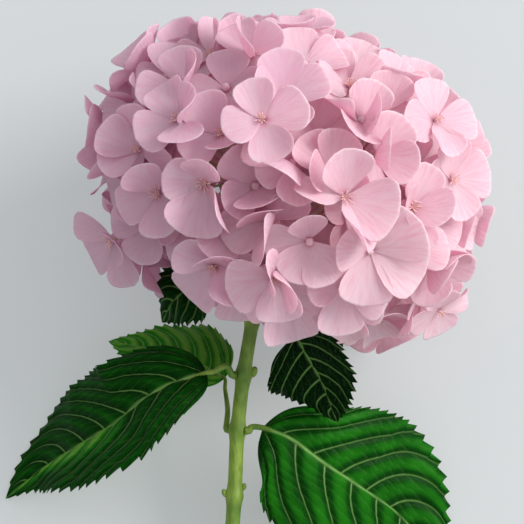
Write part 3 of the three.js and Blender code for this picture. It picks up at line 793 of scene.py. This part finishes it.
def betweenPoses(feet):
    poses = []
    tilt = head["tilt"]
    for x, y, outward, lean, habit in between:
        dx, dy = x - headMiddle[0], y - headMiddle[1]
        across = (dx * math.cos(tilt) + dy * math.sin(tilt)) / head["reach"][0]
        rise = (dy * math.cos(tilt) - dx * math.sin(tilt)) / head["reach"][1]
        toward = np.array([across, rise, math.sqrt(max(0.05, 1 - across**2 - rise**2))])
        place, out = domeAt(toward)
        facing = unit(out + np.array([*lean, 0.3]))
        poses.append(addedPose(place, place + out * outward, facing, 1.0, feet, habit=habit))
    return poses


def freeSpots():
    # Places spread evenly over the head by the golden angle, and the direction each faces. The
    # stem's side of the head stays open, more of it in front than behind.
    count = filling["candidates"]
    y = 1 - (2 * np.arange(count) + 1) / count
    turn = np.arange(count) * math.pi * (3 - math.sqrt(5))
    ring = np.sqrt(1 - y * y)
    directions = np.stack([ring * np.cos(turn), y, ring * np.sin(turn)], axis=1)
    (low, sideways), (back, lowest) = filling["stemSide"], filling["behind"]
    behind = (directions[:, 2] < back) & (y > lowest)
    directions = directions[(y > low) | (np.abs(directions[:, 0]) > sideways) | behind]
    spots = [domeAt(d) for d in directions]
    return np.array([p for p, _ in spots]), np.array([o for _, o in spots])


def awayAt(turn):
    return np.array([math.cos(turn), math.sin(turn), 0.2])


def fillingPoses(random):
    # one by one, into the widest gap left between the middles of the florets
    places, outs = freeSpots()
    feet = np.array([pose["foot"] for pose in florets.values()])
    poses = betweenPoses(feet)
    for pose in poses:
        planFloret(pose, random, pose["habit"])
    taken = np.array([pose["centre"] for pose in [*florets.values(), *poses]])
    room = np.linalg.norm(places[:, None] - taken[None], axis=2).min(axis=1)
    for _ in range(filling["count"]):
        best = int(np.argmax(room))
        place, out = places[best], outs[best]
        room = np.minimum(room, np.linalg.norm(places - place, axis=1))
        lean = np.array([random.uniform(-0.25, 0.25), random.uniform(-0.2, 0.3), 0.3])
        facing = unit(out + lean * [1, 1, 1 if place[2] > 0 else -1])
        away = awayAt(random.uniform(0, 6.28))
        centre = place - out * random.uniform(*filling["lower"])
        size = random.uniform(*filling["size"])
        poses.append(addedPose(place, centre, facing, size, feet, away=away))
        planFloret(poses[-1], random)
    for i in np.linspace(5, len(places) - 5, filling["under"]).astype(int):
        place = places[i] - outs[i] * random.uniform(*filling["underLower"])
        away = awayAt(random.uniform(0, 6.28))
        poses.append(addedPose(place, place, outs[i], 1.0, feet, away=away))
        planFloret(poses[-1], random)
    # the head is open at its lower left, where a leaf shows
    x, y, z = filling["open"]
    return [
        pose for pose in poses
        if not (pose["centre"][0] < x and pose["centre"][1] < y and pose["centre"][2] > z)
    ]


random = np.random.default_rng(filling["seed"])
for name, pose in florets.items():
    planFloret(pose, random, habits.get(name))
fillers = fillingPoses(random)
settleSepals([*florets.values(), *fillers])
for name, pose in florets.items():
    makeFloret("petals_" + name[-2:], pose, random, [name])
for i, pose in enumerate(fillers):
    makeFloret(f"petals_filling_{i + 1:02d}", pose, random)
print("head made:", len(florets) + len(fillers), "florets")

# Hydrangea stem: smooth waxy green bark with fine lengthwise streaks, small brown specks
# (lenticels), and a swollen knuckle where a pair of leaves stands.
stem = {
    "line": [(-17, -235, 0), (-14, -159.8, 0), (-9.5, -93, 0), (-8, -61, 0), (-5, -34, 0),
             (-0.5, -6, 0), (3.5, 24, 0)],
    "knuckles": {"upper": -6, "middle": -34, "lower": -61, "bottom": -93},
    "radius": (3.3, 3.9),
    "swelling": 0.9,
    "crown": 24,
    "crownRadius": 3.6,
    "ribs": 5,
    "ribDepth": 0.1,
    "scar": (0.25, 0.7),  # how far the leaf scar at a knuckle stands out, and its width
    "buds": ((-34, 1, 2.3), (-93, -1, 1.7), (-90, 1, 1.5)),  # height, side and radius of each
    "shoot": (-12, (-4.6, 9, 1), (-7, 19, 2)),  # height of a side shoot, and where it runs
    "light": "#97b14a",
    "dark": "#3f661d",
    "speck": "#6a6230",
    "pith": "#d9dfb4",
    "pithShade": "#c6cf98",
    "streaksPerMetre": 900.0,  # about 1.1 mm apart
    "cloudsPerMetre": 60.0,  # about 17 mm across
    "specksPerMetre": 260.0,  # about 4 mm apart
}


def stemPlace(height):
    path, _ = smoothPath(stem["line"], 600)
    return np.array([np.interp(height, path[:, 1], path[:, k]) for k in range(3)])


def stemRadiusAt(height):
    # widens evenly toward the cut, with a bell-shaped swelling at each knuckle
    top, foot = stem["radius"]
    plain = top + (foot - top) * np.clip(-height / lying["stemBelowHead"], 0, 1)
    bells = [bell(height - at, 4) for at in stem["knuckles"].values()]
    return plain + stem["swelling"] * np.max(bells, axis=0)


def barkMaterial():
    material, tree = newMaterial("waxy green hydrangea bark")
    spot = addNode(tree, "TexCoord").outputs["Object"]
    drawn = addNode(tree, "Mapping", {"Vector": spot, "Scale": (1.0, 0.08, 1.0)})
    streak = addNode(tree, "TexNoise", {
        "Vector": drawn.outputs[0], "Scale": stem["streaksPerMetre"], "Detail": 3.0,
    })
    cloud = addNode(tree, "TexNoise", {
        "Vector": spot, "Scale": stem["cloudsPerMetre"], "Detail": 2.0,
    })
    base = addNode(tree, "ValToRGB", {"Fac": cloud.outputs["Fac"]}, [
        (0.3, linear(stem["light"])), (0.7, linear(stem["dark"])),
    ])
    lines = addNode(tree, "ValToRGB", {"Fac": streak.outputs["Fac"]}, [(0.4, 0.0), (0.75, 0.5)])
    streaked = addNode(tree, "Mix", {
        0: lines.outputs["Color"], 6: base.outputs["Color"], 7: linear(stem["dark"]),
    }, data_type="RGBA")
    flat = addNode(tree, "Mapping", {"Vector": spot, "Scale": (1.0, 0.4, 1.0)})
    speck = addNode(tree, "TexVoronoi", {
        "Vector": flat.outputs[0], "Scale": stem["specksPerMetre"],
    })
    specks = addNode(tree, "ValToRGB", {"Fac": speck.outputs["Distance"]}, [
        (0.08, 0.8), (0.15, 0.0),
    ])
    colour = addNode(tree, "Mix", {
        0: specks.outputs["Color"], 6: streaked.outputs[2], 7: linear(stem["speck"]),
    }, data_type="RGBA")
    bump = addNode(tree, "Bump", {
        "Height": streak.outputs["Fac"], "Strength": 0.35, "Distance": 0.0005,
    })
    skin = addNode(tree, "BsdfPrincipled", {
        "Base Color": colour.outputs[2], "Roughness": 0.42, "Specular IOR Level": 0.3,
        "Normal": bump.outputs[0],
    })
    addNode(tree, "OutputMaterial", {"Surface": skin.outputs[0]})
    return material


barkSkin = barkMaterial()
# the cut end: pale, slightly moist pith with a fine dull grain
cutSkin = plainTissue("pale cut pith", stem["pith"], stem["pithShade"], 0.7, 500.0)


def makeStem():
    shape = Shape()
    rows, sides = 190, 28
    path, along = smoothPath(stem["line"], rows)
    radii = stemRadiusAt(path[:, 1])
    around = np.linspace(0, 2 * np.pi, sides, endpoint=False)
    # shallow ribs run down the stem, and a narrow scar rings each knuckle
    ripple = stem["ribDepth"] * np.cos(around * stem["ribs"] + 0.4)[None, :] * np.ones((rows, 1))
    proud, wide = stem["scar"]
    scars = sum(bell(path[:, 1] - at, wide) for at in stem["knuckles"].values())
    addTube(shape, path, along, radii + proud * scars, sides, 0, (0.5, 0, 0), ripple)
    shape.caps = [(ring, 1) for ring, _ in shape.caps]
    crown = stemPlace(stem["crown"])
    radius = stem["crownRadius"]
    addBall(shape, crown, along[-1], (radius, radius), 0, (0, 0, 0), 16, 10)
    for height, toward, radius in stem["buds"]:
        # resting buds sit close against the stem and point up it
        skin = toward * (float(stemRadiusAt(np.array(height))) + radius * 0.25)
        beside = stemPlace(height) + np.array([skin, 1.4, 0.4])
        egg = (radius * 0.8, radius * 1.25)
        addBall(shape, beside, (toward * 0.35, 1, 0), egg, 0, (0, 0, 0), 12, 8)
    height, bend, end = stem["shoot"]
    foot = stemPlace(height)
    shoot, shootAlong = smoothPath([foot, foot + bend, foot + end], 12)
    addTube(shape, shoot, shootAlong, np.linspace(1.4, 1.0, 12), 10, 0)
    piece = shape.build("stem_bark", [barkSkin, cutSkin])
    return finishPiece(piece, ["stem"])


makeStem()

branch = {"count": 7, "reach": 0.5, "radius": 1.5, "knob": 3.2, "gap": 0.35}


def makeBranches():
    crown = stemPlace(stem["crown"])
    size = branch["knob"]
    for i in range(branch["count"]):
        turn = 2 * math.pi * i / (branch["count"] - 1)
        level = -0.05 if i % 2 == 0 else -0.3
        toward = (math.cos(turn), level, math.sin(turn)) if i else (0.05, 1, 0.1)
        knob = headMiddle + branch["reach"] * (domeAt(unit(toward))[0] - headMiddle)
        foot = crown + unit(knob - crown) * (stem["crownRadius"] + branch["gap"])
        path, along = smoothPath([foot, (foot + knob) / 2 + [0, 1.5, 0], knob], 14)
        shape = Shape()
        swell = np.interp(np.linspace(0, 1, 14), [0, 0.15, 0.8, 1], [1.2, 1, 0.9, 1.1])
        addTube(shape, path, along, branch["radius"] * swell, 12, 0)
        addBall(shape, knob, along[-1], (size, size), 0, (0, 0, 0), 14, 9)
        piece = shape.build(f"stalk_{i + 1}", [stalkSkin])
        finishPiece(piece, [f"branch_{i + 1}"])


makeBranches()
print("stem and branches made")

# Each leaf: its knuckle, its petiole and midrib as offsets from the stem's middle there, the share
# of the way down to the floor at each point of the midrib, the way the blade faces near its foot
# and near its tip, its half width, where its two sides are broadest and how square their shoulders
# are, its fold along the midrib, how its sides droop, its teeth and side veins, its green (0
# darkest, 1 lightest; the darkest, on the upper right leaf, is painted shade) and how strong the
# painted light strip beside its midrib is.
leaves = {
    "leaf_left": {
        "knuckle": "middle",
        "petiole": [(-2, 1, 1), (-8, 4.4, 4), (-15, 1.6, 5), (-18, 1.2, 5)],
        "midrib": [(-18, 1.2, 5), (-37, -5, 6), (-50, -13, 4), (-61, -22.5, 0), (-81, -35.5, -10),
                   (-103, -50.5, -24), (-121.5, -65, -34)],
        "down": (0, 0, 0, 0, 0.1, 0.55, 1),
        "faces": ((-0.15, 0.6, 0.78), (-0.38, 0.52, 0.76)),
        "halfWidth": 34, "widest": (0.55, 0.4), "shoulder": (0.42, 0.42),
        "fold": 0.33, "droop": 0.12, "teeth": 24, "veins": 9, "green": 0.4, "litStrip": 1.1,
    },
    "leaf_right": {
        "knuckle": "lower",
        "petiole": [(2, 0.5, 1), (6.5, 1.6, 3), (12.4, 1.5, 4.5)],
        "midrib": [(12.4, 1.5, 4.5), (24.6, -2.9, 6), (42, -15.6, 3), (60, -28.5, -4),
                   (80.5, -44.5, -12), (104, -72, -26)],
        "down": (0, 0, 0, 0.1, 0.4, 1),
        "faces": ((-0.1, 0.2, 0.97), (0.1, 0.15, 0.98)),
        "halfWidth": 41, "widest": (0.4, 0.56), "shoulder": (0.4, 0.7),
        "fold": 0.1, "droop": 0.16, "teeth": 24, "veins": 7, "green": 0.52, "litStrip": 0.0,
    },
    "leaf_back_left": {
        "knuckle": "lower",
        "petiole": [(-2, 0.6, -1.4), (-5, 9, -9), (-6.5, 19, -19), (-7, 24, -24)],
        "midrib": [(-7, 24, -24), (-22, 31.5, -29), (-42, 37, -33), (-66, 42, -35)],
        "down": (0, 0, 0.1, 0.2),
        "faces": ((0.1, 0.82, 0.56), (0.05, 0.86, 0.5)),
        "halfWidth": 31, "widest": (0.4, 0.4), "shoulder": (0.5, 0.5),
        "fold": 0.12, "droop": 0.1, "teeth": 18, "veins": 7, "green": 1.05, "litStrip": 0.0,
    },
    "leaf_upper_right": {
        "knuckle": "upper",
        "petiole": [(2, 0.5, 2.5), (10, 1, 9), (17, -3, 13), (21, -8.6, 14)],
        "midrib": [(21, -8.6, 14), (27, -19.4, 16), (34, -32, 14), (40.5, -50.5, 8)],
        "down": (0, 0, 0, 0),
        "faces": ((-0.6, -0.2, 0.77), (-0.62, -0.28, 0.73)),
        "halfWidth": 28, "widest": (0.4, 0.4), "shoulder": (0.42, 0.42),
        # this leaf's darkest green is painted shade, for the shade of the head above it
        "fold": 0.33, "droop": 0.1, "teeth": 16, "veins": 6, "green": 0.05, "litStrip": 0.0,
    },
    "leaf_upper_left": {
        "knuckle": "upper",
        "petiole": [(-2.2, 0.5, -2.5), (-8, 8, -10), (-14, 15, -13)],
        "midrib": [(-14, 15, -13), (-26, 16, -14), (-38, 9, -15), (-46, -3, -19)],
        "down": (0, 0, 0, 0.1),
        "faces": ((-0.1, 0.6, 0.79), (-0.35, 0.45, 0.82)),
        "halfWidth": 21, "widest": (0.45, 0.45), "shoulder": (0.5, 0.5),
        "fold": 0.15, "droop": 0.1, "teeth": 14, "veins": 6, "green": 0.35, "litStrip": 0.0,
    },
    "leaf_small_right": {
        "knuckle": "upper",
        "petiole": [(2.2, 1.5, -2.5), (12, 4, -15), (22, 2, -22)],
        "midrib": [(22, 2, -22), (33, -1.5, -24), (44, -6, -27), (55, -13, -31)],
        "down": (0, 0, 0, 0.05),
        "faces": ((0, 0.5, 0.86), (0.15, 0.35, 0.92)),
        "halfWidth": 13, "widest": (0.45, 0.45), "shoulder": (0.5, 0.5),
        "fold": 0.12, "droop": 0.1, "teeth": 12, "veins": 6, "green": 0.5, "litStrip": 0.0,
    },
}

# What all blades share, in millimetres.
blade = {
    "thickness": 0.5,
    "rowsPerTooth": 11,
    "columns": 153,
    "toothDepth": 2.7,
    "toothLean": 1.9,
    "quilt": (1.15, 2.6),  # how far the skin between two side veins stands up, and over what
    "rungGroove": (0.22, 0.9),  # depth and reach of the groove along a ladder vein
    "ribGroove": (0.7, 2.2),  # and of the one along the midrib
    "wave": 0.9,  # how far the blade waves along its margin
    "sideLean": 0.4,  # how far toward the tip a side vein has run when it meets the margin
    "rungs": 4.2,  # spacing of the ladder veins between two side veins
    "sideVein": 0.34,  # half widths of the pale line along a side vein, a rung and the midrib
    "rungVein": 0.3,
    "ribVein": 0.8,
    "ladder": (0.8, 0.37),  # how far a rung slants, and is set off from the last row's rungs
    "wander": (0.3, 0.29, 2.3),  # how much a rung wanders, and how fast outward and along
    "paleness": (0.7, 0.055),  # of the side veins and the rungs, beside the midrib's one
    "aboveFloor": 0.5,
    "clearance": 0.35,  # left between the petiole and the stem
    "sunk": 2.4,  # how far below the blade the petiole runs on
    "under": (0.14, 0.4),  # at these shares of the blade
    "petioleRadii": [2.1, 1.8, 1.45, 1.2, 0.35],
    "cloudsPerMetre": 70.0,  # about 14 mm across
    "netPerMetre": 700.0,  # meshes of the finest veins, 1.4 mm: coarser than real, to show
    "dark": "#021404",
    "middle": "#053f06",
    "light": "#227c12",
    "young": "#679f37",
    "vein": "#88ba64",
    "underside": "#7ea36a",
    "underShade": "#6d9459",
}


def bladeWidth(share, widest, shoulder):
    # half width along the blade as a share of the greatest: a sine to the power of its shoulder
    # up to the broadest place, then a cosine drawn out to the tip
    foot = np.sin(0.5 * np.pi * np.clip(share / widest, 0, 1)) ** shoulder
    out = np.clip((share - widest) / (1 - widest), 0, 1)
    tip = np.maximum(0, np.cos(0.5 * np.pi * out)) ** 0.9 * (1 - 0.25 * out)
    return np.where(share < widest, foot, tip)


def sawTooth(share, teeth):
    # rises slowly toward the tip of each tooth and falls back quickly
    step = (share * teeth) % 1.0
    return np.where(step < 0.82, (step / 0.82) ** 1.3, (1 - step) / 0.18)


def ramped(value, low, high):
    step = np.clip((value - low) / (high - low), 0, 1)
    return step * step * (3 - 2 * step)


def midribOf(leaf, node):
    # each point of the midrib goes its share of the way down to the floor below it
    line = []
    for offset, down in zip(leaf["midrib"], leaf["down"]):
        p = node + np.array(offset, float)
        resting = -(footHeight + p[1] * math.sin(slope)) / math.cos(slope)
        resting += 0.45 / math.cos(slope)
        p[2] += (resting - p[2]) * down
        line.append(p)
    return line


def bladeHalf(leaf, share, t):
    # half width at each row, for each of the two sides, and never less than a thin tongue
    left, right = (bladeWidth(share, leaf["widest"][i], leaf["shoulder"][i]) for i in (0, 1))
    half = leaf["halfWidth"] * np.where(t[None, :] < 0, left[:, None], right[:, None])
    return np.maximum(half, np.where(share < 0.02, 1.2, 0.25)[:, None])


def bladeVeins(leaf, share, t, half, length):
    # Side veins leave the midrib at even steps and bend toward the tip, and the rungs of a
    # ladder cross between them. Gives for each point how far it is from the nearest of both and
    # from the midrib, how much the veins show toward the two ends, and how thick the midrib is.
    a = np.abs(t)[None, :]
    count = leaf["veins"]
    lean = blade["sideLean"] * a**1.55 * (0.5 + 0.5 * half / leaf["halfWidth"])
    phase = (share[:, None] - lean) * count + np.where(t < 0, 0.0, 0.45)[None, :]
    off = phase - np.round(phase)
    out = a * half
    (slant, setOff), (wander, outward, onward) = blade["ladder"], blade["wander"]
    rung = out / blade["rungs"] + slant * off * np.sign(t)[None, :]
    rung = rung + setOff * np.round(phase) + wander * np.sin(out * outward + phase * onward)
    return {
        "side": np.abs(off) / count * length * 0.75,
        "rung": np.abs(rung - np.round(rung)) * blade["rungs"],
        "rib": out,
        "shown": ramped(share[:, None], 0.0, 0.05) * ramped(1 - share[:, None], 0.0, 0.04),
        "thick": 1.0 - 0.65 * share[:, None],
    }


def bladeRise(leaf, share, a, half, veins):
    # the sides rise with the fold and droop outward, the skin is grooved along every vein, and
    # the blade waves a little along its margin
    (quilt, over), (rung, rungReach) = blade["quilt"], blade["rungGroove"]
    rib, ribReach = blade["ribGroove"]
    relief = (
        quilt * (1 - bell(veins["side"], over)) * veins["shown"]
        + rung * (1 - bell(veins["rung"], rungReach))
        + rib * (1 - bell(veins["rib"], ribReach * veins["thick"]))
    ) * np.clip(half / 14, 0.15, 1) * (1 - 0.6 * a**6)
    rise = half * (a * math.sin(leaf["fold"]) - leaf["droop"] * a * a) + relief - 0.6
    return rise + blade["wave"] * np.sin(share * 21)[:, None] * a**3 * np.clip(half / 20, 0, 1)


def bladeTone(leaf, share, t, veins):
    # X: how much of the pale vein shows, Y: how light the green is, with painted light on the
    # ridges and the lit strip and painted shade in the hollows
    a = np.abs(t)[None, :]
    sidePale, rungPale = blade["paleness"]
    rib = bell(veins["rib"], blade["ribVein"] * veins["thick"]) * (1 - 0.4 * share[:, None])
    sides = bell(veins["side"], blade["sideVein"]) * veins["shown"] * (1 - 0.5 * a) * sidePale
    rungs = bell(veins["rung"], blade["rungVein"]) * rungPale * veins["shown"]
    rungs = rungs * ramped(veins["side"], 0.2, 1.5)
    vein = np.clip(np.maximum(np.maximum(rib, sides), rungs), 0, 1)
    # painted light: the lower half next to the midrib is painted paler in a strip, where it catches
    # the light
    litStrip = leaf["litStrip"] * (t > 0)[None, :] * bell(a, 0.4) * ramped(share, 0.3, 0.5)[:, None]
    # painted light and shade: the raised skin between two side veins is painted lighter than the
    # hollows beside them, as light falls on the relief
    reliefShading = 0.42 * (1 - bell(veins["side"], 3.2)) * veins["shown"] - 0.26
    green = leaf["green"] + litStrip * 0.6 + reliefShading
    return np.stack([vein, green, np.zeros_like(vein)], axis=-1).reshape(-1, 3)


def addPetiole(shape, leaf, node, path, up):
    # starts square to the stem, just clear of it, and runs on under the blade
    x, _, z = leaf["petiole"][0]
    square = unit(np.array([x, 0, z]))
    skin = float(stemRadiusAt(np.array(stem["knuckles"][leaf["knuckle"]]))) + blade["clearance"]
    line = [node + square * skin, node + square * (skin + 1.7)]
    line += [node + np.array(offset, float) for offset in leaf["petiole"][1:]]
    for i in (int(len(path) * share) for share in blade["under"]):
        line.append(path[i] - up[i] * blade["sunk"])
    petiole, along = smoothPath(line, 70)
    grow = np.linspace(0, 1, 70)
    radii = np.interp(grow, [0, 0.03, 0.08, 0.3, 1], blade["petioleRadii"])
    lift = np.maximum(0, radii + 0.1 - toFrame(petiole)[:, 2] / mm)
    petiole = petiole + lift[:, None] * upward
    addTube(shape, petiole, along, radii, 12, 2)


def makeLeaf(name, leaf):
    # A blade is a grid of rows along its midrib and columns across. Each point goes out from
    # the midrib by its share of the half width, to the teeth at the margin, and rises with the
    # blade's fold and relief. A second skin lies behind it.
    node = stemPlace(stem["knuckles"][leaf["knuckle"]])
    rows, columns = leaf["teeth"] * blade["rowsPerTooth"] + 1, blade["columns"]
    share = np.linspace(0, 1, rows)
    path, along = smoothPath(midribOf(leaf, node), rows)
    length = np.linalg.norm(np.diff(path, axis=0), axis=1).sum()
    up = np.outer(1 - share, leaf["faces"][0]) + np.outer(share, leaf["faces"][1])
    up = unit(up - along * (up * along).sum(axis=1, keepdims=True))
    across = np.cross(up, along)
    t = np.linspace(-1, 1, columns)
    t = np.sign(t) * np.abs(t) ** 0.92
    a = np.abs(t)[None, :]
    half = bladeHalf(leaf, share, t)
    veins = bladeVeins(leaf, share, t, half, length)
    toothed = (ramped(share, 0.06, 0.2) * (1 - ramped(share, 0.95, 1.0)))[:, None]
    saw = sawTooth(share, leaf["teeth"])[:, None] - 0.5
    size = np.clip(half / 12, 0.25, 1) * toothed
    margin = a**10
    reach = half + saw * blade["toothDepth"] * size * margin
    outward = reach * np.sign(t)[None, :] * a * math.cos(leaf["fold"])
    forward = saw * blade["toothLean"] * size * margin
    middle = (
        path[:, None, :]
        + across[:, None, :] * outward[..., None]
        + up[:, None, :] * bladeRise(leaf, share, a, half, veins)[..., None]
        + along[:, None, :] * forward[..., None]
    )
    heights = toFrame(middle)[..., 2] / mm
    middle = middle + upward * np.maximum(0, blade["aboveFloor"] - heights)[..., None]
    normal = unit(np.cross(np.gradient(middle, axis=1), np.gradient(middle, axis=0)))
    normal = normal * np.sign((normal * up[:, None, :]).sum(axis=2, keepdims=True))
    normal = unit(normal + up[:, None, :] * 1e-6)
    thick = blade["thickness"] / 2 * (1 - 0.5 * a**8)[..., None]
    faces, rim = gridFaces(rows, columns), rimFaces(rows, columns)
    quads = np.concatenate([faces[:, ::-1], rim, faces + rows * columns])
    if np.cross(middle[1, 1] - middle[1, 0], middle[2, 0] - middle[1, 0]) @ up[1] > 0:
        quads = quads[:, ::-1]
    kinds = np.r_[np.zeros(len(faces) + len(rim)), np.ones(len(faces))].astype(int)
    tone = bladeTone(leaf, share, t, veins)
    place = np.broadcast_arrays(t[None, :] * 0.5 + 0.5, share[:, None])
    place = np.stack(place, axis=-1).reshape(-1, 2)
    shape = Shape()
    points = skinPoints(middle, normal, thick)
    shape.add(points, quads, kinds, np.concatenate([tone, tone]), np.concatenate([place, place]))
    addPetiole(shape, leaf, node, path, up)
    piece = shape.build(name + "_blade", [leafSkin, underSkin, barkSkin])
    return finishPiece(piece, [name])


def leafMaterial():
    # the blade's skin: leathery, dark green, with pale sunken veins and a soft waxy sheen
    material, tree = newMaterial("leathery hydrangea leaf")
    tone = addNode(tree, "Attribute", attribute_name="tone", attribute_type="GEOMETRY")
    parts = addNode(tree, "SeparateXYZ", {"Vector": tone.outputs["Vector"]})
    spot = addNode(tree, "TexCoord").outputs["Object"]
    cloud = addNode(tree, "TexNoise", {
        "Vector": spot, "Scale": blade["cloudsPerMetre"], "Detail": 3.0,
    })
    clouded = addNode(tree, "Math", {0: cloud.outputs["Fac"], 1: 0.4, 2: -0.2},
                      operation="MULTIPLY_ADD")
    shade = addNode(tree, "Math", {0: parts.outputs["Y"], 1: clouded.outputs[0]}, operation="ADD")
    green = addNode(tree, "ValToRGB", {"Fac": shade.outputs[0]}, [
        (0.0, linear(blade["dark"])),
        (0.5, linear(blade["middle"])),
        (0.85, linear(blade["light"])),
        (1.0, linear(blade["young"])),
    ])
    net = addNode(tree, "TexVoronoi", {
        "Vector": spot, "Scale": blade["netPerMetre"],
    }, feature="DISTANCE_TO_EDGE")
    mesh = addNode(tree, "ValToRGB", {"Fac": net.outputs["Distance"]}, [(0.0, 0.14), (0.12, 0.0)])
    netted = addNode(tree, "Mix", {
        0: mesh.outputs["Color"], 6: green.outputs["Color"], 7: linear(blade["light"]),
    }, data_type="RGBA")
    colour = addNode(tree, "Mix", {
        0: parts.outputs["X"], 6: netted.outputs[2], 7: linear(blade["vein"]),
    }, data_type="RGBA")
    bump = addNode(tree, "Bump", {
        "Height": net.outputs["Distance"], "Strength": 0.3, "Distance": 0.0004,
    })
    skin = addNode(tree, "BsdfPrincipled", {
        "Base Color": colour.outputs[2], "Roughness": 0.36, "Specular IOR Level": 0.04,
        "Normal": bump.outputs[0],
    })
    glow = addNode(tree, "BsdfTranslucent", {"Color": colour.outputs[2]})
    both = addNode(tree, "MixShader", {0: 0.15, 1: skin.outputs[0], 2: glow.outputs[0]})
    addNode(tree, "OutputMaterial", {"Surface": both.outputs[0]})
    return material


leafSkin = leafMaterial()
# the underside: paler and duller than the top, like felt
underSkin = plainTissue("dull leaf underside", blade["underside"], blade["underShade"], 0.7, 200.0)
for name, leaf in leaves.items():
    makeLeaf(name, leaf)
print("leaves made:", len(leaves))

# Pale paper on a light table: its own glow keeps the shadows soft.
table = {"colour": "#9b9fa0", "glow": "#f2f6f7", "strength": 0.31, "half": 9, "below": 0.0006}
floorMaterial, tree = newMaterial("pale paper on a light table")
paper = addNode(tree, "BsdfPrincipled", {
    "Base Color": linear(table["colour"]), "Roughness": 0.95, "Specular IOR Level": 0.1,
    "Emission Color": linear(table["glow"]), "Emission Strength": table["strength"],
})
addNode(tree, "OutputMaterial", {"Surface": paper.outputs[0]})
floorMesh = bpy.data.meshes.new("floor")
half = table["half"]
corners = [(-half, -half, 0), (half, -half, 0), (half, half, 0), (-half, half, 0)]
floorMesh.from_pydata(corners, [], [(0, 1, 2, 3)])
floorMesh.materials.append(floorMaterial)
floor = bpy.data.objects.new("floor", floorMesh)
bpy.context.scene.collection.objects.link(floor)
floor.location.z = -table["below"]

# A room whose right side is brighter: the light grows evenly with the direction's lean to it. A
# square soft box, placed from what the camera looks at, adds to it.
studio = {
    "toward": (0.8, 0.25, 0.54), "shaded": 0.36, "level": 0.63, "lit": 1.2, "colour": "#eef2f4",
    "box": {"offset": (2.0, 0.7, 1.6), "size": 1.4, "power": 64, "colour": "#fffaf8"},
}
world = bpy.data.worlds.new("studio")
world.use_nodes = True
tree = world.node_tree
direction = addNode(tree, "TexCoord").outputs["Generated"]
lean = addNode(tree, "VectorMath", {0: direction, 1: studio["toward"]}, operation="DOT_PRODUCT")
share = addNode(tree, "Math", {0: lean.outputs["Value"], 1: 0.5, 2: 0.5}, operation="MULTIPLY_ADD")
glowing = addNode(tree, "ValToRGB", {"Fac": share.outputs[0]}, [
    (0.0, studio["shaded"]), (0.5, studio["level"]), (1.0, studio["lit"]),
])
tree.nodes["Background"].inputs["Color"].default_value = linear(studio["colour"])
tree.links.new(glowing.outputs["Color"], tree.nodes["Background"].inputs["Strength"])
bpy.context.scene.world = world

view = {"aim": (3.9, 21, 0), "distance": 0.9, "fieldHalfAngle": 8.08, "sensor": 36}
aim = toFrame([view["aim"]])[0]


def softBox(name, offset, size, power, colour):
    # a square area light turned to face what the camera looks at
    light = bpy.data.lights.new(name, "AREA")
    light.shape = "SQUARE"
    light.size = size
    light.energy = power
    light.color = linear(colour)[:3]
    lamp = bpy.data.objects.new(name, light)
    bpy.context.scene.collection.objects.link(lamp)
    offset = np.array(offset, float)
    lamp.location = (aim + offset).tolist()
    lamp.rotation_euler = Vector((-offset).tolist()).to_track_quat("-Z", "Y").to_euler()
    return lamp


softBox("key", **studio["box"])

camera = bpy.data.cameras.new("camera")
camera.sensor_width = view["sensor"]
camera.lens = view["sensor"] / 2 / math.tan(math.radians(view["fieldHalfAngle"]))
camera.clip_start = 0.05
viewer = bpy.data.objects.new("camera", camera)
bpy.context.scene.collection.objects.link(viewer)
viewer.location = (aim + turned @ np.array([0, 0, view["distance"]])).tolist()
viewer.rotation_euler = (slope, 0, 0)
bpy.context.scene.camera = viewer
bpy.context.scene.view_settings.view_transform = "Standard"
